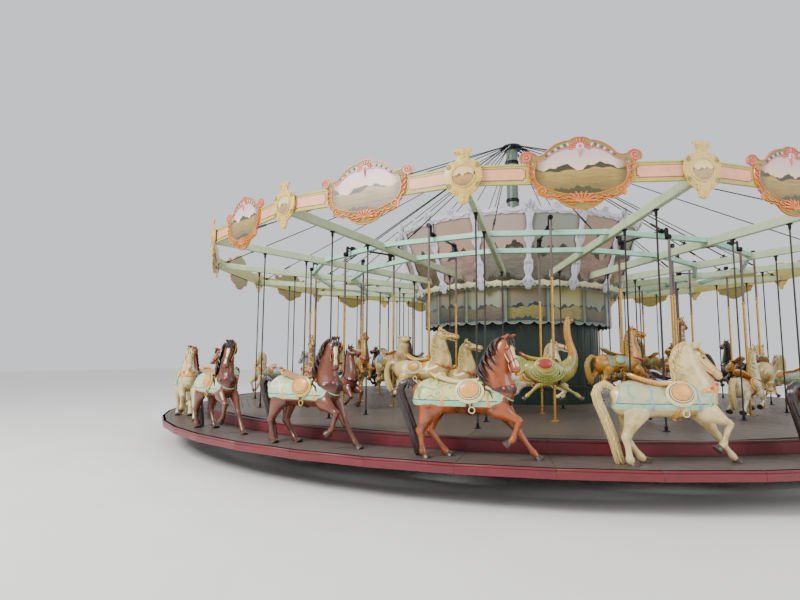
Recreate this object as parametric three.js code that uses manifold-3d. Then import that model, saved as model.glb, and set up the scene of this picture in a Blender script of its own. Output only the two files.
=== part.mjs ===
// A three-row menagerie carousel, in millimetres, +Z up, standing on z = 0 with its mast on the axis.
// Bays are counted from the sweep on -Y, counter-clockwise seen from above.
import * as THREE from "three";
import { mergeVertices } from "three/addons/utils/BufferGeometryUtils.js";
import Module from "manifold-3d";

const wasm = await Module();
wasm.setup();

// Driving dimensions
const BAYS = 16;
const STEP = (2 * Math.PI) / BAYS;
const GAP = 0.3;

const MAST = { radius: 145, top: 6980, sides: 16, footRadius: 260, footHeight: 300 };
const COLLAR = { radius: 300, bottom: 2970, top: 3049.7 };
const ARM = { width: 160, height: 180 };
const HOUSING = { radius: 1950, wall: 50, height: 2940, sides: 24 };

const HUB = { radius: 460, bottom: 3050, top: 3300, bore: 150 };
const BOARD = { vertexRadius: 7300, centre: 3850, height: 257, thickness: 30 };
const SWEEP = { width: 100, depth: 150, inner: 451.6, datumRadius: 2380, datumHeight: 3350, slope: 0.091 };
const SWEEP_MITRE = (SWEEP.width / 2) * Math.tan(STEP / 2);
const SWEEP_OUTER = BOARD.vertexRadius - BOARD.thickness - SWEEP_MITRE - GAP;
const HANGER = { radius: 13, radii: [2900, 5450, 6300], sides: 4 };

const RING_BAR = 85;
const RINGS = [
  { radius: 5030, centre: 3630 },
  { radius: 4080, centre: 3530 },
];
const CRANK = {
  height: 3715,
  radius: 20,
  throw: 130,
  webWidth: 70,
  webThickness: 20,
  bearingWidth: 80,
  bearingLength: 70,
};
const PIN = { radius: 42, length: 60 };
const ROWS = { outer: 5100, inner: 3900 };

const SHIELD_PROUD = 35;
const BIG_SHIELD = { width: 1440, height: 900 };
const SMALL_SHIELD = { width: 450, height: 715 };

const CROWN = { radius: 240, bottom: 6980.3, top: 7140 };
const STAY = {
  radius: 11,
  crownRadius: 190,
  crownHeight: 7060,
  footRadii: [4600, 7050],
  foot: [70, 70, 30],
  sides: 3,
};

const DRUM = {
  bottomRadius: 2450,
  topRadius: 2900,
  bottom: 3160,
  top: 4600,
  wall: 40,
  rail: 100,
  cresting: 4650,
  finial: 4880,
  slotReach: 300,
};
const PILLAR = { width: 120, proud: 45 };
const SOFFIT = { inner: 2190, thickness: 30 };
const SKIRT = { radius: 2260, wall: 20, bottom: 2320 };

const UPPER_DECK = {
  inner: 2060,
  outer: 7165,
  top: 650,
  thickness: 80,
  sides: 48,
  shelf: 7500,
  shelfBottom: 300,
};
const OUTER_DECK = { inner: 7165.3, outer: 8000, top: 480, thickness: 80, fascia: 50, fasciaBottom: 370 };
const POLE = { radius: 22, holeRadius: 40, sides: 4, bottom: 380 };

const STANDERS = { count: 22, radius: 7600, start: 0.9, barrel: 1150 };
const STANDER_KINDS = ["turned", "stander", "turned", "turned", "stander", "turned"];
const DECK_SEGMENTS = [{ from: -7.5, to: 127.5 }, { from: 127.5, to: 240 }, { from: 240, to: 352.5 }];

// Jumpers: the height of the barrel's middle at half stroke, and the size of a row's figures
const BARREL_MID = { outer: 1270, inner: 1400 };
const ROW_SCALE = { outer: 1, inner: 0.96 };
const LEG = { thickness: 75, widths: [85, 45, 42] };
const TAIL = { thickness: 60, widths: [40, 50, 50, 45, 40] };

// What rides in each bay, counter-clockwise from the sweep on -Y
const HERD = {
  outer: [
    "ostrich", "horse", "horse", "bear", "horse", "giraffe", "horse", "horse",
    "ostrich", "horse", "bear", "horse", "horse", "giraffe", "horse", "horse",
  ],
  inner: [
    "horse", "horse", "giraffe", "horse", "ostrich", "horse", "bear", "horse",
    "horse", "giraffe", "horse", "horse", "ostrich", "horse", "bear", "horse",
  ],
};

// Paint and metal
function paint(color, roughness = 0.35, metalness = 0) {
  return new THREE.MeshStandardMaterial({ color, roughness, metalness });
}

const FINISH = {
  mast: paint(0x5f6f62, 0.5),
  housing: paint(0x0f3223, 0.4),
  timber: paint(0xb4c496, 0.6),
  ring: paint(0xa5e1c3, 0.6),
  iron: paint(0x1c1c1e, 0.5, 0.6),
  board: paint(0xf0c8aa, 0.45),
  drum: paint(0xe6e2ea, 0.5),
  skirt: paint(0x3d4a55, 0.5),
  deck: paint(0x3a3330, 0.7),
  rim: paint(0x8a2d30, 0.5),
  ivory: paint(0xe2d3ac),
  chestnut: paint(0x6a3519),
  amber: paint(0xc08b3a),
  white: paint(0xdcd8cc),
  brown: paint(0x4a3222),
};

// Solids: a closed geometry becomes one that can be joined and cut
function solid(geometry) {
  const bare = new THREE.BufferGeometry().setAttribute(
    "position",
    (geometry.index ? geometry.toNonIndexed() : geometry).getAttribute("position"),
  );
  const merged = mergeVertices(bare, 1e-3);
  return new wasm.Manifold(
    new wasm.Mesh({
      numProp: 3,
      vertProperties: merged.attributes.position.array,
      triVerts: new Uint32Array(merged.index.array),
    }),
  );
}

const join = (parts) => parts.reduce((whole, part) => whole.add(part));

function geometryOf(manifold) {
  const { vertProperties, triVerts } = manifold.getMesh();
  return new THREE.BufferGeometry()
    .setAttribute("position", new THREE.BufferAttribute(new Float32Array(vertProperties), 3))
    .setIndex(new THREE.BufferAttribute(new Uint32Array(triVerts), 1))
    .toNonIndexed();
}

// Everything radial is drawn on the -Y side, x along the rim, and turned to its azimuth
const turned = (geometry, azimuth) => geometry.rotateZ(azimuth);
const bayAngle = (bay) => bay * STEP;
const sweepHeight = (radius) => SWEEP.datumHeight + SWEEP.slope * (radius - SWEEP.datumRadius);

function box(x, radial, z) {
  const [x0, x1] = x;
  const [r0, r1] = radial;
  const [z0, z1] = z;
  const middle = [(x0 + x1) / 2, -(r0 + r1) / 2, (z0 + z1) / 2];
  return new THREE.BoxGeometry(x1 - x0, r1 - r0, z1 - z0).translate(...middle);
}

// A closed prism on +z, a regular polygon with a corner on -y
function upright(radius, z0, z1, sides) {
  const corners = Array.from({ length: sides }, (_, i) => {
    const angle = (2 * Math.PI * i) / sides - Math.PI / 2;
    return new THREE.Vector2(radius * Math.cos(angle), radius * Math.sin(angle));
  });
  const section = new THREE.Shape(corners);
  return new THREE.ExtrudeGeometry(section, { depth: z1 - z0, bevelEnabled: false }).translate(0, 0, z0);
}

function rod(from, to, radius, sides) {
  const start = new THREE.Vector3(...from);
  const along = new THREE.Vector3(...to).sub(start);
  const heading = along.clone().normalize();
  const turn = new THREE.Quaternion().setFromUnitVectors(new THREE.Vector3(0, 0, 1), heading);
  return upright(radius, 0, along.length(), sides).applyQuaternion(turn).translate(...from);
}

// A profile of [radius, height] pairs revolved about the axis, its first edge at the given azimuth
function revolved(profile, sides, start = 0) {
  const points = [...profile, profile[0]].map(([r, z]) => new THREE.Vector2(r, z));
  return new THREE.LatheGeometry(points, sides, start).rotateX(Math.PI / 2);
}

// A side view of [radial, height] pairs made as thick as stated along the rim
function radialPlate(outline, thickness) {
  const shape = new THREE.Shape(outline.map(([r, z]) => new THREE.Vector2(r, z)));
  const placed = new THREE.Matrix4()
    .makeBasis(new THREE.Vector3(0, -1, 0), new THREE.Vector3(0, 0, 1), new THREE.Vector3(-1, 0, 0))
    .setPosition(thickness / 2, 0, 0);
  return new THREE.ExtrudeGeometry(shape, { depth: thickness, bevelEnabled: false }).applyMatrix4(placed);
}

// A front view of [x, height] pairs, standing at a radius and as deep as stated towards the outside
function facePlate(outline, radius, depth) {
  const shape = new THREE.Shape(outline.map(([x, z]) => new THREE.Vector2(x, z)));
  return new THREE.ExtrudeGeometry(shape, { depth, bevelEnabled: false })
    .rotateX(Math.PI / 2)
    .translate(0, -radius, 0);
}

const carousel = new THREE.Group();

function addNode(name, manifold, material, azimuth = 0, radius = 0) {
  const mesh = new THREE.Mesh(geometryOf(manifold), material);
  mesh.name = name;
  mesh.position.set(radius * Math.sin(azimuth), -radius * Math.cos(azimuth), 0);
  mesh.rotation.z = azimuth;
  carousel.add(mesh);
}

// Centre: mast on its cross foot, and the engine housing round it
function mast() {
  const reach = (HOUSING.radius - HOUSING.wall) * Math.cos(Math.PI / HOUSING.sides) - GAP;
  const arms = [0, Math.PI / 2].map((angle) =>
    solid(turned(box([-ARM.width / 2, ARM.width / 2], [-reach, reach], [0, ARM.height]), angle)),
  );
  return join([
    solid(upright(MAST.radius, 0, MAST.top, MAST.sides)),
    solid(upright(MAST.footRadius, 0, MAST.footHeight, MAST.sides)),
    solid(upright(COLLAR.radius, COLLAR.bottom, COLLAR.top, MAST.sides)),
    ...arms,
  ]);
}

function housing() {
  const { radius, wall, height, sides } = HOUSING;
  const profile = [[radius - wall, 0], [radius, 0], [radius, height], [radius - wall, height]];
  return solid(revolved(profile, sides, Math.PI / sides));
}

// Turning frame
function hub() {
  const { bore, radius, bottom, top } = HUB;
  return solid(revolved([[bore, bottom], [radius, bottom], [radius, top], [bore, top]], BAYS, STEP / 2));
}

// One sweep with the rods that hang the platform from it
function sweep() {
  const half = SWEEP.depth / 2;
  const [zIn, zOut] = [sweepHeight(SWEEP.inner), sweepHeight(SWEEP_OUTER)];
  const outline = [
    [SWEEP.inner, zIn - half],
    [SWEEP_OUTER, zOut - half],
    [SWEEP_OUTER, zOut + half],
    [SWEEP.inner, zIn + half],
  ];
  const beam = solid(radialPlate(outline, SWEEP.width));
  const notches = RINGS.map((ring) =>
    solid(
      box(
        [-SWEEP.width, SWEEP.width],
        [ring.radius - RING_BAR / 2 - SWEEP_MITRE - GAP, ring.radius + RING_BAR / 2 + GAP],
        [ring.centre - RING_BAR / 2 - GAP, ring.centre + SWEEP.depth],
      ),
    ),
  );
  const rods = HANGER.radii.map((radius) => {
    const hanger = upright(HANGER.radius, UPPER_DECK.top + GAP, sweepHeight(radius), HANGER.sides);
    return solid(hanger.translate(0, -radius, 0));
  });
  return join([notches.reduce((whole, notch) => whole.subtract(notch), beam), ...rods]);
}

// Even pairs of bays have their outer crank up, odd pairs have it down, and each inner crank is opposite
const outerIsUp = (bay) => Math.floor(((bay + 1) % BAYS) / 2) % 2 === 0;
const throwOf = (bay, row) => (outerIsUp(bay) === (row === "outer") ? CRANK.throw : -CRANK.throw);

// A shaft over both rings with a web turned up or down at each end
function crankshaft(bay) {
  const webFace = PIN.length / 2 + GAP;
  const inner = ROWS.inner + webFace;
  const outer = ROWS.outer - webFace;
  const { height, radius, webWidth, webThickness } = CRANK;
  const tipOf = (row) => throwOf(bay, row) + (Math.sign(throwOf(bay, row)) * webWidth) / 2;
  const [innerTip, outerTip] = [height + tipOf("inner"), height + tipOf("outer")];
  const toTip = Math.sign(innerTip - height) * radius;
  const [innerNear, innerFar] = [height + toTip, height - toTip];
  const [outerNear, outerFar] = [2 * height - innerNear, 2 * height - innerFar];
  const outline = [
    [inner, innerFar],
    [inner, innerTip],
    [inner + webThickness, innerTip],
    [inner + webThickness, innerNear],
    [outer, outerFar],
    [outer, outerTip],
    [outer - webThickness, outerTip],
    [outer - webThickness, outerNear],
  ];
  const bearings = RINGS.map((ring) => {
    const middle = ring.radius * Math.cos(STEP / 2);
    const half = CRANK.bearingLength / 2;
    return solid(
      box(
        [-CRANK.bearingWidth / 2, CRANK.bearingWidth / 2],
        [middle - half, middle + half],
        [ring.centre, height + CRANK.bearingWidth / 2],
      ),
    );
  });
  return join([solid(radialPlate(outline, 2 * radius)), ...bearings]);
}

function crankFrame() {
  const rings = RINGS.map(({ radius, centre }) => {
    const half = RING_BAR / 2;
    const profile = [
      [radius - half, centre - half],
      [radius + half, centre - half],
      [radius + half, centre + half],
      [radius - half, centre + half],
    ];
    return solid(revolved(profile, BAYS));
  });
  const cranks = Array.from({ length: BAYS }, (_, bay) => {
    return solid(turned(geometryOf(crankshaft(bay)), bayAngle(bay + 0.5)));
  });
  return join([...rings, ...cranks]);
}

// Half outlines of the shields, mirrored left to right: [x, height] as shares of half the width and height
const BIG_HALF = [[0, -1], [0.42, -0.84], [0.95, -0.35], [1, 0.25], [0.74, 0.66], [0.45, 0.86], [0, 1]];
const SMALL_HALF = [[0, -1], [0.95, -0.35], [1, 0.35], [0, 1]];

function shieldOutline(half, { width, height }) {
  const right = half.map(([x, z]) => [(x * width) / 2, BOARD.centre + (z * height) / 2]);
  const left = right.slice(1, -1).reverse().map(([x, z]) => [-x, z]);
  return [...right, ...left];
}

function roundingBoards() {
  const half = BOARD.height / 2;
  const { vertexRadius: rim, thickness, centre } = BOARD;
  const inner = rim - thickness;
  const profile = [
    [inner, centre - half],
    [rim, centre - half],
    [rim, centre + half],
    [inner, centre + half],
  ];
  const flat = rim * Math.cos(STEP / 2);
  const depth = thickness / 2 + SHIELD_PROUD;
  const shields = [];
  for (let bay = 0; bay < BAYS; bay += 1) {
    const big = facePlate(shieldOutline(BIG_HALF, BIG_SHIELD), flat - thickness / 2, depth);
    const small = facePlate(shieldOutline(SMALL_HALF, SMALL_SHIELD), rim - thickness / 2, depth);
    shields.push(solid(turned(big, bayAngle(bay + 0.5))), solid(turned(small, bayAngle(bay))));
  }
  return join([solid(revolved(profile, BAYS)), ...shields]);
}

function stayRods() {
  const pieces = [solid(upright(CROWN.radius, CROWN.bottom, CROWN.top, BAYS))];
  const tilt = Math.atan(SWEEP.slope);
  const [length, width, height] = STAY.foot;
  for (let bay = 0; bay < BAYS; bay += 1) {
    for (const radius of STAY.footRadii) {
      const top = sweepHeight(radius) + (SWEEP.depth / 2 + GAP) / Math.cos(tilt);
      const foot = new THREE.BoxGeometry(width, length, height)
        .translate(0, 0, height / 2)
        .rotateX(-tilt)
        .translate(0, -radius, top);
      const from = [0, -STAY.crownRadius, STAY.crownHeight];
      const stay = rod(from, [0, -radius, top + height / 2], STAY.radius, STAY.sides);
      pieces.push(solid(turned(foot, bayAngle(bay))), solid(turned(stay, bayAngle(bay))));
    }
  }
  return join(pieces);
}

// Drum: sixteen panels that lean outwards between pillars, open at the top, with slots for the sweeps
function drum() {
  const { bottomRadius, topRadius, bottom, top, wall, rail, cresting, finial, slotReach } = DRUM;
  const lean = (topRadius - bottomRadius) / (top - bottom);
  const profile = [
    [SOFFIT.inner, bottom - SOFFIT.thickness],
    [bottomRadius + PILLAR.proud, bottom - SOFFIT.thickness],
    [bottomRadius + PILLAR.proud, bottom + rail],
    [bottomRadius + lean * rail, bottom + rail],
    [topRadius - lean * rail, top - rail],
    [topRadius + PILLAR.proud, top - rail],
    [topRadius + PILLAR.proud, cresting],
    [topRadius - wall, cresting],
    [bottomRadius - wall, bottom],
    [SOFFIT.inner, bottom],
  ];
  const pieces = [solid(revolved(profile, BAYS, STEP / 2))];
  const pillar = [
    [bottomRadius - wall, bottom],
    [bottomRadius + PILLAR.proud, bottom],
    [topRadius + PILLAR.proud + lean * (finial - top), finial],
    [topRadius, finial],
  ];
  for (let bay = 0; bay < BAYS; bay += 1) {
    pieces.push(solid(turned(radialPlate(pillar, PILLAR.width), bayAngle(bay + 0.5))));
  }
  let whole = join(pieces);
  for (let bay = 0; bay < BAYS; bay += 1) {
    const half = SWEEP.depth / 2 + GAP;
    const [from, to] = [bottomRadius - slotReach, bottomRadius + slotReach];
    const slot = radialPlate(
      [
        [from, sweepHeight(from) - half],
        [to, sweepHeight(to) - half],
        [to, sweepHeight(to) + half],
        [from, sweepHeight(from) + half],
      ],
      SWEEP.width + 2 * GAP,
    );
    whole = whole.subtract(solid(turned(slot, bayAngle(bay))));
  }
  return whole;
}

function skirt() {
  const top = DRUM.bottom - SOFFIT.thickness - GAP;
  const inner = SKIRT.radius - SKIRT.wall;
  const profile = [[inner, SKIRT.bottom], [SKIRT.radius, SKIRT.bottom], [SKIRT.radius, top], [inner, top]];
  return solid(revolved(profile, BAYS));
}

// Platform
function upperDeck() {
  const { inner, outer, top, thickness, sides, shelf, shelfBottom } = UPPER_DECK;
  const bottom = top - thickness;
  const shelfTop = OUTER_DECK.top - OUTER_DECK.thickness - GAP;
  let whole = solid(
    revolved(
      [
        [inner, bottom],
        [outer - thickness, bottom],
        [outer - thickness, shelfBottom],
        [shelf, shelfBottom],
        [shelf, shelfTop],
        [outer, shelfTop],
        [outer, top],
        [inner, top],
      ],
      sides,
    ),
  );
  for (let bay = 0; bay < BAYS; bay += 1) {
    for (const radius of Object.values(ROWS)) {
      const hole = upright(POLE.holeRadius, bottom - thickness, top + thickness, POLE.sides);
      whole = whole.subtract(solid(turned(hole.translate(0, -radius, 0), bayAngle(bay + 0.5))));
    }
  }
  return whole;
}

// Figures, drawn facing +x about the middle of the barrel, in millimetres
// A limb is a bent bar given by its centre points, the half width at each, and its thickness across
function limb(points, widths, thickness, offset = 0) {
  const centres = points.map(([x, z]) => new THREE.Vector2(x, z));
  const last = centres.length - 1;
  const sides = centres.map((centre, i) => {
    const ahead = centres[Math.min(i + 1, last)].clone().sub(centres[Math.max(i - 1, 0)]).normalize();
    return new THREE.Vector2(-ahead.y, ahead.x).multiplyScalar(widths[i]);
  });
  const left = centres.map((centre, i) => centre.clone().add(sides[i]));
  const right = centres.map((centre, i) => centre.clone().sub(sides[i])).reverse();
  const outline = new THREE.Shape([...left, ...right]);
  return new THREE.ExtrudeGeometry(outline, { depth: thickness, bevelEnabled: false })
    .translate(0, 0, -thickness / 2)
    .rotateX(Math.PI / 2)
    .translate(0, offset, 0);
}

// A body from rump to nose: sections of [x, height, half depth, half width] along its spine, and a fifth
// number where a section lies off the middle plane
function trunkOf(sections) {
  const steps = sections.length - 1;
  const corners = [[-1, -1], [1, -1], [1, 1], [-1, 1]].map(([u, v]) => new THREE.Vector2(u, v));
  const square = new THREE.Shape(corners);
  const geometry = new THREE.ExtrudeGeometry(square, { depth: steps, steps, bevelEnabled: false });
  const position = geometry.getAttribute("position");
  for (let i = 0; i < position.count; i += 1) {
    const index = Math.round(position.getZ(i));
    const [x, z, halfDepth, halfWidth, aside = 0] = sections[index];
    const [xBack, zBack] = sections[Math.max(index - 1, 0)];
    const [xAhead, zAhead] = sections[Math.min(index + 1, steps)];
    const heading = Math.atan2(zAhead - zBack, xAhead - xBack);
    const across = position.getX(i) * halfWidth + aside;
    const up = position.getY(i) * halfDepth;
    position.setXYZ(i, x - up * Math.sin(heading), across, z + up * Math.cos(heading));
  }
  return geometry;
}

// Standing horses share all but their neck and head, which look ahead or turn to the outside
const STANDING = {
  barrel: [
    [-620, 40, 100, 100],
    [-490, 0, 195, 155],
    [-100, 0, 178, 155],
    [290, 0, 210, 155],
  ],
  hip: 105,
  legs: [
    { points: [[330, -90], [520, -380], [730, -680]], side: 1 },
    { points: [[300, -90], [540, -250], [450, -490]], side: -1 },
    { points: [[-400, -80], [-480, -380], [-250, -680]], side: 1 },
    { points: [[-400, -80], [-500, -390], [-520, -680]], side: -1 },
  ],
  tail: [[-590, 80], [-760, 150], [-850, 20], [-720, -260], [-600, -600]],
};

// Spines run [x, height, half depth, half width] from rump to nose, about the middle of the barrel
const FIGURES = {
  horse: {
    trunk: [
      [-590, 20, 80, 80],
      [-470, -5, 165, 135],
      [-100, 0, 150, 135],
      [205, 5, 180, 135],
      [205, 320, 140, 75],
      [205, 570, 95, 60],
      [525, 535, 45, 45],
    ],
    hip: 88,
    legs: [
      { points: [[250, -80], [460, -150], [400, -330]], side: 1 },
      { points: [[230, -80], [400, -230], [270, -330]], side: -1 },
      { points: [[-400, -70], [-580, -220], [-690, -390]], side: 1 },
      { points: [[-400, -70], [-470, -260], [-610, -400]], side: -1 },
    ],
    tail: [[-560, 60], [-720, 60], [-790, -140], [-740, -330]],
  },
  stander: {
    ...STANDING,
    trunk: [...STANDING.barrel, [225, 330, 150, 90], [285, 540, 100, 65], [530, 265, 55, 50]],
  },
  turned: {
    ...STANDING,
    trunk: [
      ...STANDING.barrel,
      [270, 250, 185, 105],
      [340, 470, 130, 80],
      [430, 605, 90, 65],
      [560, 320, 55, 50, -160],
    ],
  },
  ostrich: {
    trunk: [
      [-560, 110, 70, 70],
      [-380, 40, 160, 135],
      [-100, 0, 180, 135],
      [180, 10, 150, 115],
      [285, 180, 85, 62],
      [225, 460, 52, 44],
      [225, 770, 50, 42],
      [360, 750, 25, 25],
    ],
    hip: 80,
    legs: [
      { points: [[20, -120], [150, -280], [420, -380]], side: 1 },
      { points: [[-100, -120], [-330, -300], [-480, -400]], side: -1 },
    ],
    tail: [[-480, 110], [-680, 40]],
  },
  giraffe: {
    trunk: [
      [-450, 10, 80, 80],
      [-370, -20, 150, 125],
      [-80, 0, 165, 125],
      [220, 20, 185, 125],
      [270, 420, 90, 60],
      [300, 800, 65, 50],
      [480, 720, 38, 38],
    ],
    hip: 85,
    legs: [
      { points: [[240, -80], [450, -220], [400, -400]], side: 1 },
      { points: [[220, -80], [410, -240], [300, -400]], side: -1 },
      { points: [[-280, -60], [-560, -380]], side: 1 },
      { points: [[-280, -60], [-480, -390]], side: -1 },
    ],
    tail: [[-400, 20], [-520, -240]],
  },
  bear: {
    trunk: [
      [-520, -20, 90, 100],
      [-400, -20, 185, 150],
      [-60, -10, 175, 150],
      [240, 0, 180, 150],
      [310, 240, 130, 110],
      [370, 430, 115, 110],
      [560, 480, 55, 50],
    ],
    hip: 95,
    legs: [
      { points: [[250, -80], [470, -150], [560, -300]], side: 1 },
      { points: [[230, -80], [400, -230], [330, -380]], side: -1 },
      { points: [[-300, -80], [-480, -330]], side: 1 },
      { points: [[-300, -80], [-360, -380]], side: -1 },
    ],
    tail: [[-490, 20], [-590, -40]],
  },
};

function figureParts({ trunk, hip, legs, tail }) {
  return [
    trunkOf(trunk),
    ...legs.map(({ points, side }) => limb(points, LEG.widths, LEG.thickness, side * hip)),
    limb(tail, TAIL.widths, TAIL.thickness),
  ];
}

// A jumper on its pole, about the pole's own axis, with the bearing that hangs it from the crank pin
function rider(kind, bay, row) {
  const scale = ROW_SCALE[row];
  const lift = throwOf(bay, row);
  const barrel = BARREL_MID[row] + lift;
  const carve = (part) => solid(part.scale(scale, scale, scale).translate(0, 0, barrel));
  const pinHeight = CRANK.height + lift;
  const pole = upright(POLE.radius, POLE.bottom + lift, pinHeight, POLE.sides);
  const half = PIN.length / 2;
  const heights = [pinHeight - PIN.radius, pinHeight + PIN.radius];
  const bearing = box([-PIN.radius, PIN.radius], [-half, half], heights);
  return join([...figureParts(FIGURES[kind]).map(carve), solid(pole), solid(bearing)]);
}

// Outer platform in segments, each with the standing figures that are fixed to it
function arcRing(profile, from, to) {
  const steps = Math.round(((to - from) / (2 * Math.PI)) * UPPER_DECK.sides);
  const gap = GAP / OUTER_DECK.inner;
  const shape = new THREE.Shape(profile.map(([r, z]) => new THREE.Vector2(r, z)));
  const geometry = new THREE.ExtrudeGeometry(shape, { depth: 1, steps, bevelEnabled: false });
  const position = geometry.getAttribute("position");
  for (let i = 0; i < position.count; i += 1) {
    const azimuth = to - gap / 2 - position.getZ(i) * (to - from - gap);
    const radius = position.getX(i);
    position.setXYZ(i, radius * Math.sin(azimuth), -radius * Math.cos(azimuth), position.getY(i));
  }
  return geometry;
}

const standing = STANDER_KINDS.map((kind) => join(figureParts(FIGURES[kind]).map(solid)));

function outerDeckSegment({ from, to }) {
  const { inner, outer, top, thickness, fascia, fasciaBottom } = OUTER_DECK;
  const profile = [
    [inner, top - thickness],
    [outer - fascia, top - thickness],
    [outer - fascia, fasciaBottom],
    [outer, fasciaBottom],
    [outer, top],
    [inner, top],
  ];
  const pieces = [solid(arcRing(profile, THREE.MathUtils.degToRad(from), THREE.MathUtils.degToRad(to)))];
  for (let i = 0; i < STANDERS.count; i += 1) {
    const azimuth = STANDERS.start + (360 * i) / STANDERS.count;
    if (azimuth > from && azimuth < to) {
      const figure = geometryOf(standing[i % standing.length]);
      const placed = figure.translate(0, -STANDERS.radius, STANDERS.barrel);
      pieces.push(solid(turned(placed, THREE.MathUtils.degToRad(azimuth))));
    }
  }
  return join(pieces);
}

const COATS = ["amber", "ivory", "white", "brown", "chestnut", "ivory", "amber"];
const twoDigits = (number) => String(number).padStart(2, "0");

addNode("mast", mast(), FINISH.mast);
addNode("housing", housing(), FINISH.housing);
addNode("hub", hub(), FINISH.iron);
const oneSweep = sweep();
for (let bay = 0; bay < BAYS; bay += 1) {
  addNode(`sweep_${twoDigits(bay + 1)}`, oneSweep, FINISH.timber, bayAngle(bay));
}
addNode("crank_frame", crankFrame(), FINISH.ring);
addNode("rounding_boards", roundingBoards(), FINISH.board);
addNode("stay_rods", stayRods(), FINISH.iron);
addNode("drum", drum(), FINISH.drum);
addNode("skirt", skirt(), FINISH.skirt);
addNode("upper_deck", upperDeck(), FINISH.deck);
DECK_SEGMENTS.forEach((segment, index) => {
  addNode(`outer_deck_${index + 1}`, outerDeckSegment(segment), FINISH.rim);
});
for (const row of Object.keys(ROWS)) {
  for (let bay = 0; bay < BAYS; bay += 1) {
    const name = `${row}_jumper_${twoDigits(bay + 1)}`;
    const coat = FINISH[COATS[bay % COATS.length]];
    addNode(name, rider(HERD[row][bay], bay, row), coat, bayAngle(bay + 0.5), ROWS[row]);
  }
}

export default carousel;
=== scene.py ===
"""Looks of a three-row menagerie carousel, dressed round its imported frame.

Metres, +Z up, the mast on the Z axis and the first sweep on -Y. An assembly is drawn for one bay on the -Y
side, with x along the rim and -y outwards, and is then turned to its places. Animals face +x.
"""

import logging
from collections.abc import Callable, Hashable, Iterable, Mapping, Sequence
from dataclasses import dataclass, field
from enum import Enum
from functools import cache
from math import atan, cos, pi, radians, sin, tan

import bmesh
import bpy
from mathutils import Matrix, Vector


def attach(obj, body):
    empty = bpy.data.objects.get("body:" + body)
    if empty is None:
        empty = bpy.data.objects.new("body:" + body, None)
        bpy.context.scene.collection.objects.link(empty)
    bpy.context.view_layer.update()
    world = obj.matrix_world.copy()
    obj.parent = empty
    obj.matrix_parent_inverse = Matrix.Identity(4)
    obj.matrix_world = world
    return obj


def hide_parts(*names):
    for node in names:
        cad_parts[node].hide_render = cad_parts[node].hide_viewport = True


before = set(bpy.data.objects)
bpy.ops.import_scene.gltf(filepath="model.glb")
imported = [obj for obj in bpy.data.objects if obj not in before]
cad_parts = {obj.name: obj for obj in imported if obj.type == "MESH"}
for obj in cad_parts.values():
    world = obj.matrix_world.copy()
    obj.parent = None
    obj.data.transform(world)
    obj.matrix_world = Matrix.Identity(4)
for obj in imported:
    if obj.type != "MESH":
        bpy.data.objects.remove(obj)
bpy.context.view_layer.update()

LOG = logging.getLogger("carousel")

CM = 0.01
MM = 0.001
BAYS = 16
STEP = 2 * pi / BAYS
SHARP_ANGLE = radians(38)

Colour = tuple[float, float, float, float]
Outline = Sequence[tuple[float, float]]
Line = list[tuple[float, float]]
Row = Sequence[float]
Rows = Sequence[Row]
Socket = bpy.types.NodeSocket
Material = bpy.types.Material
Mesh = bpy.types.Mesh
Vert = bmesh.types.BMVert
Edge = bmesh.types.BMEdge
Face = bmesh.types.BMFace


def shifted(x: float, y: float, z: float) -> Matrix:
    """A move by the given distances."""
    return Matrix.Translation((x, y, z))


def swung(axis: str, angle: float) -> Matrix:
    """A turn about an axis through the origin."""
    return Matrix.Rotation(angle, 4, axis)


def tint(code: int) -> Colour:
    """A linear colour from a 24-bit screen colour.

    Args:
        code: The colour as 0xRRGGBB.

    Returns:
        Red, green, blue and alpha for a shader socket.
    """
    channels = [(code >> shift & 255) / 255 for shift in (16, 8, 0)]
    linear = [c / 12.92 if c <= 0.04045 else ((c + 0.055) / 1.055) ** 2.4 for c in channels]
    return (*linear, 1.0)


def shaded(colour: Colour, share: float) -> Colour:
    """The colour made darker or lighter by a share of itself."""
    return (*[min(c * share, 1.0) for c in colour[:3]], 1.0)


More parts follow.
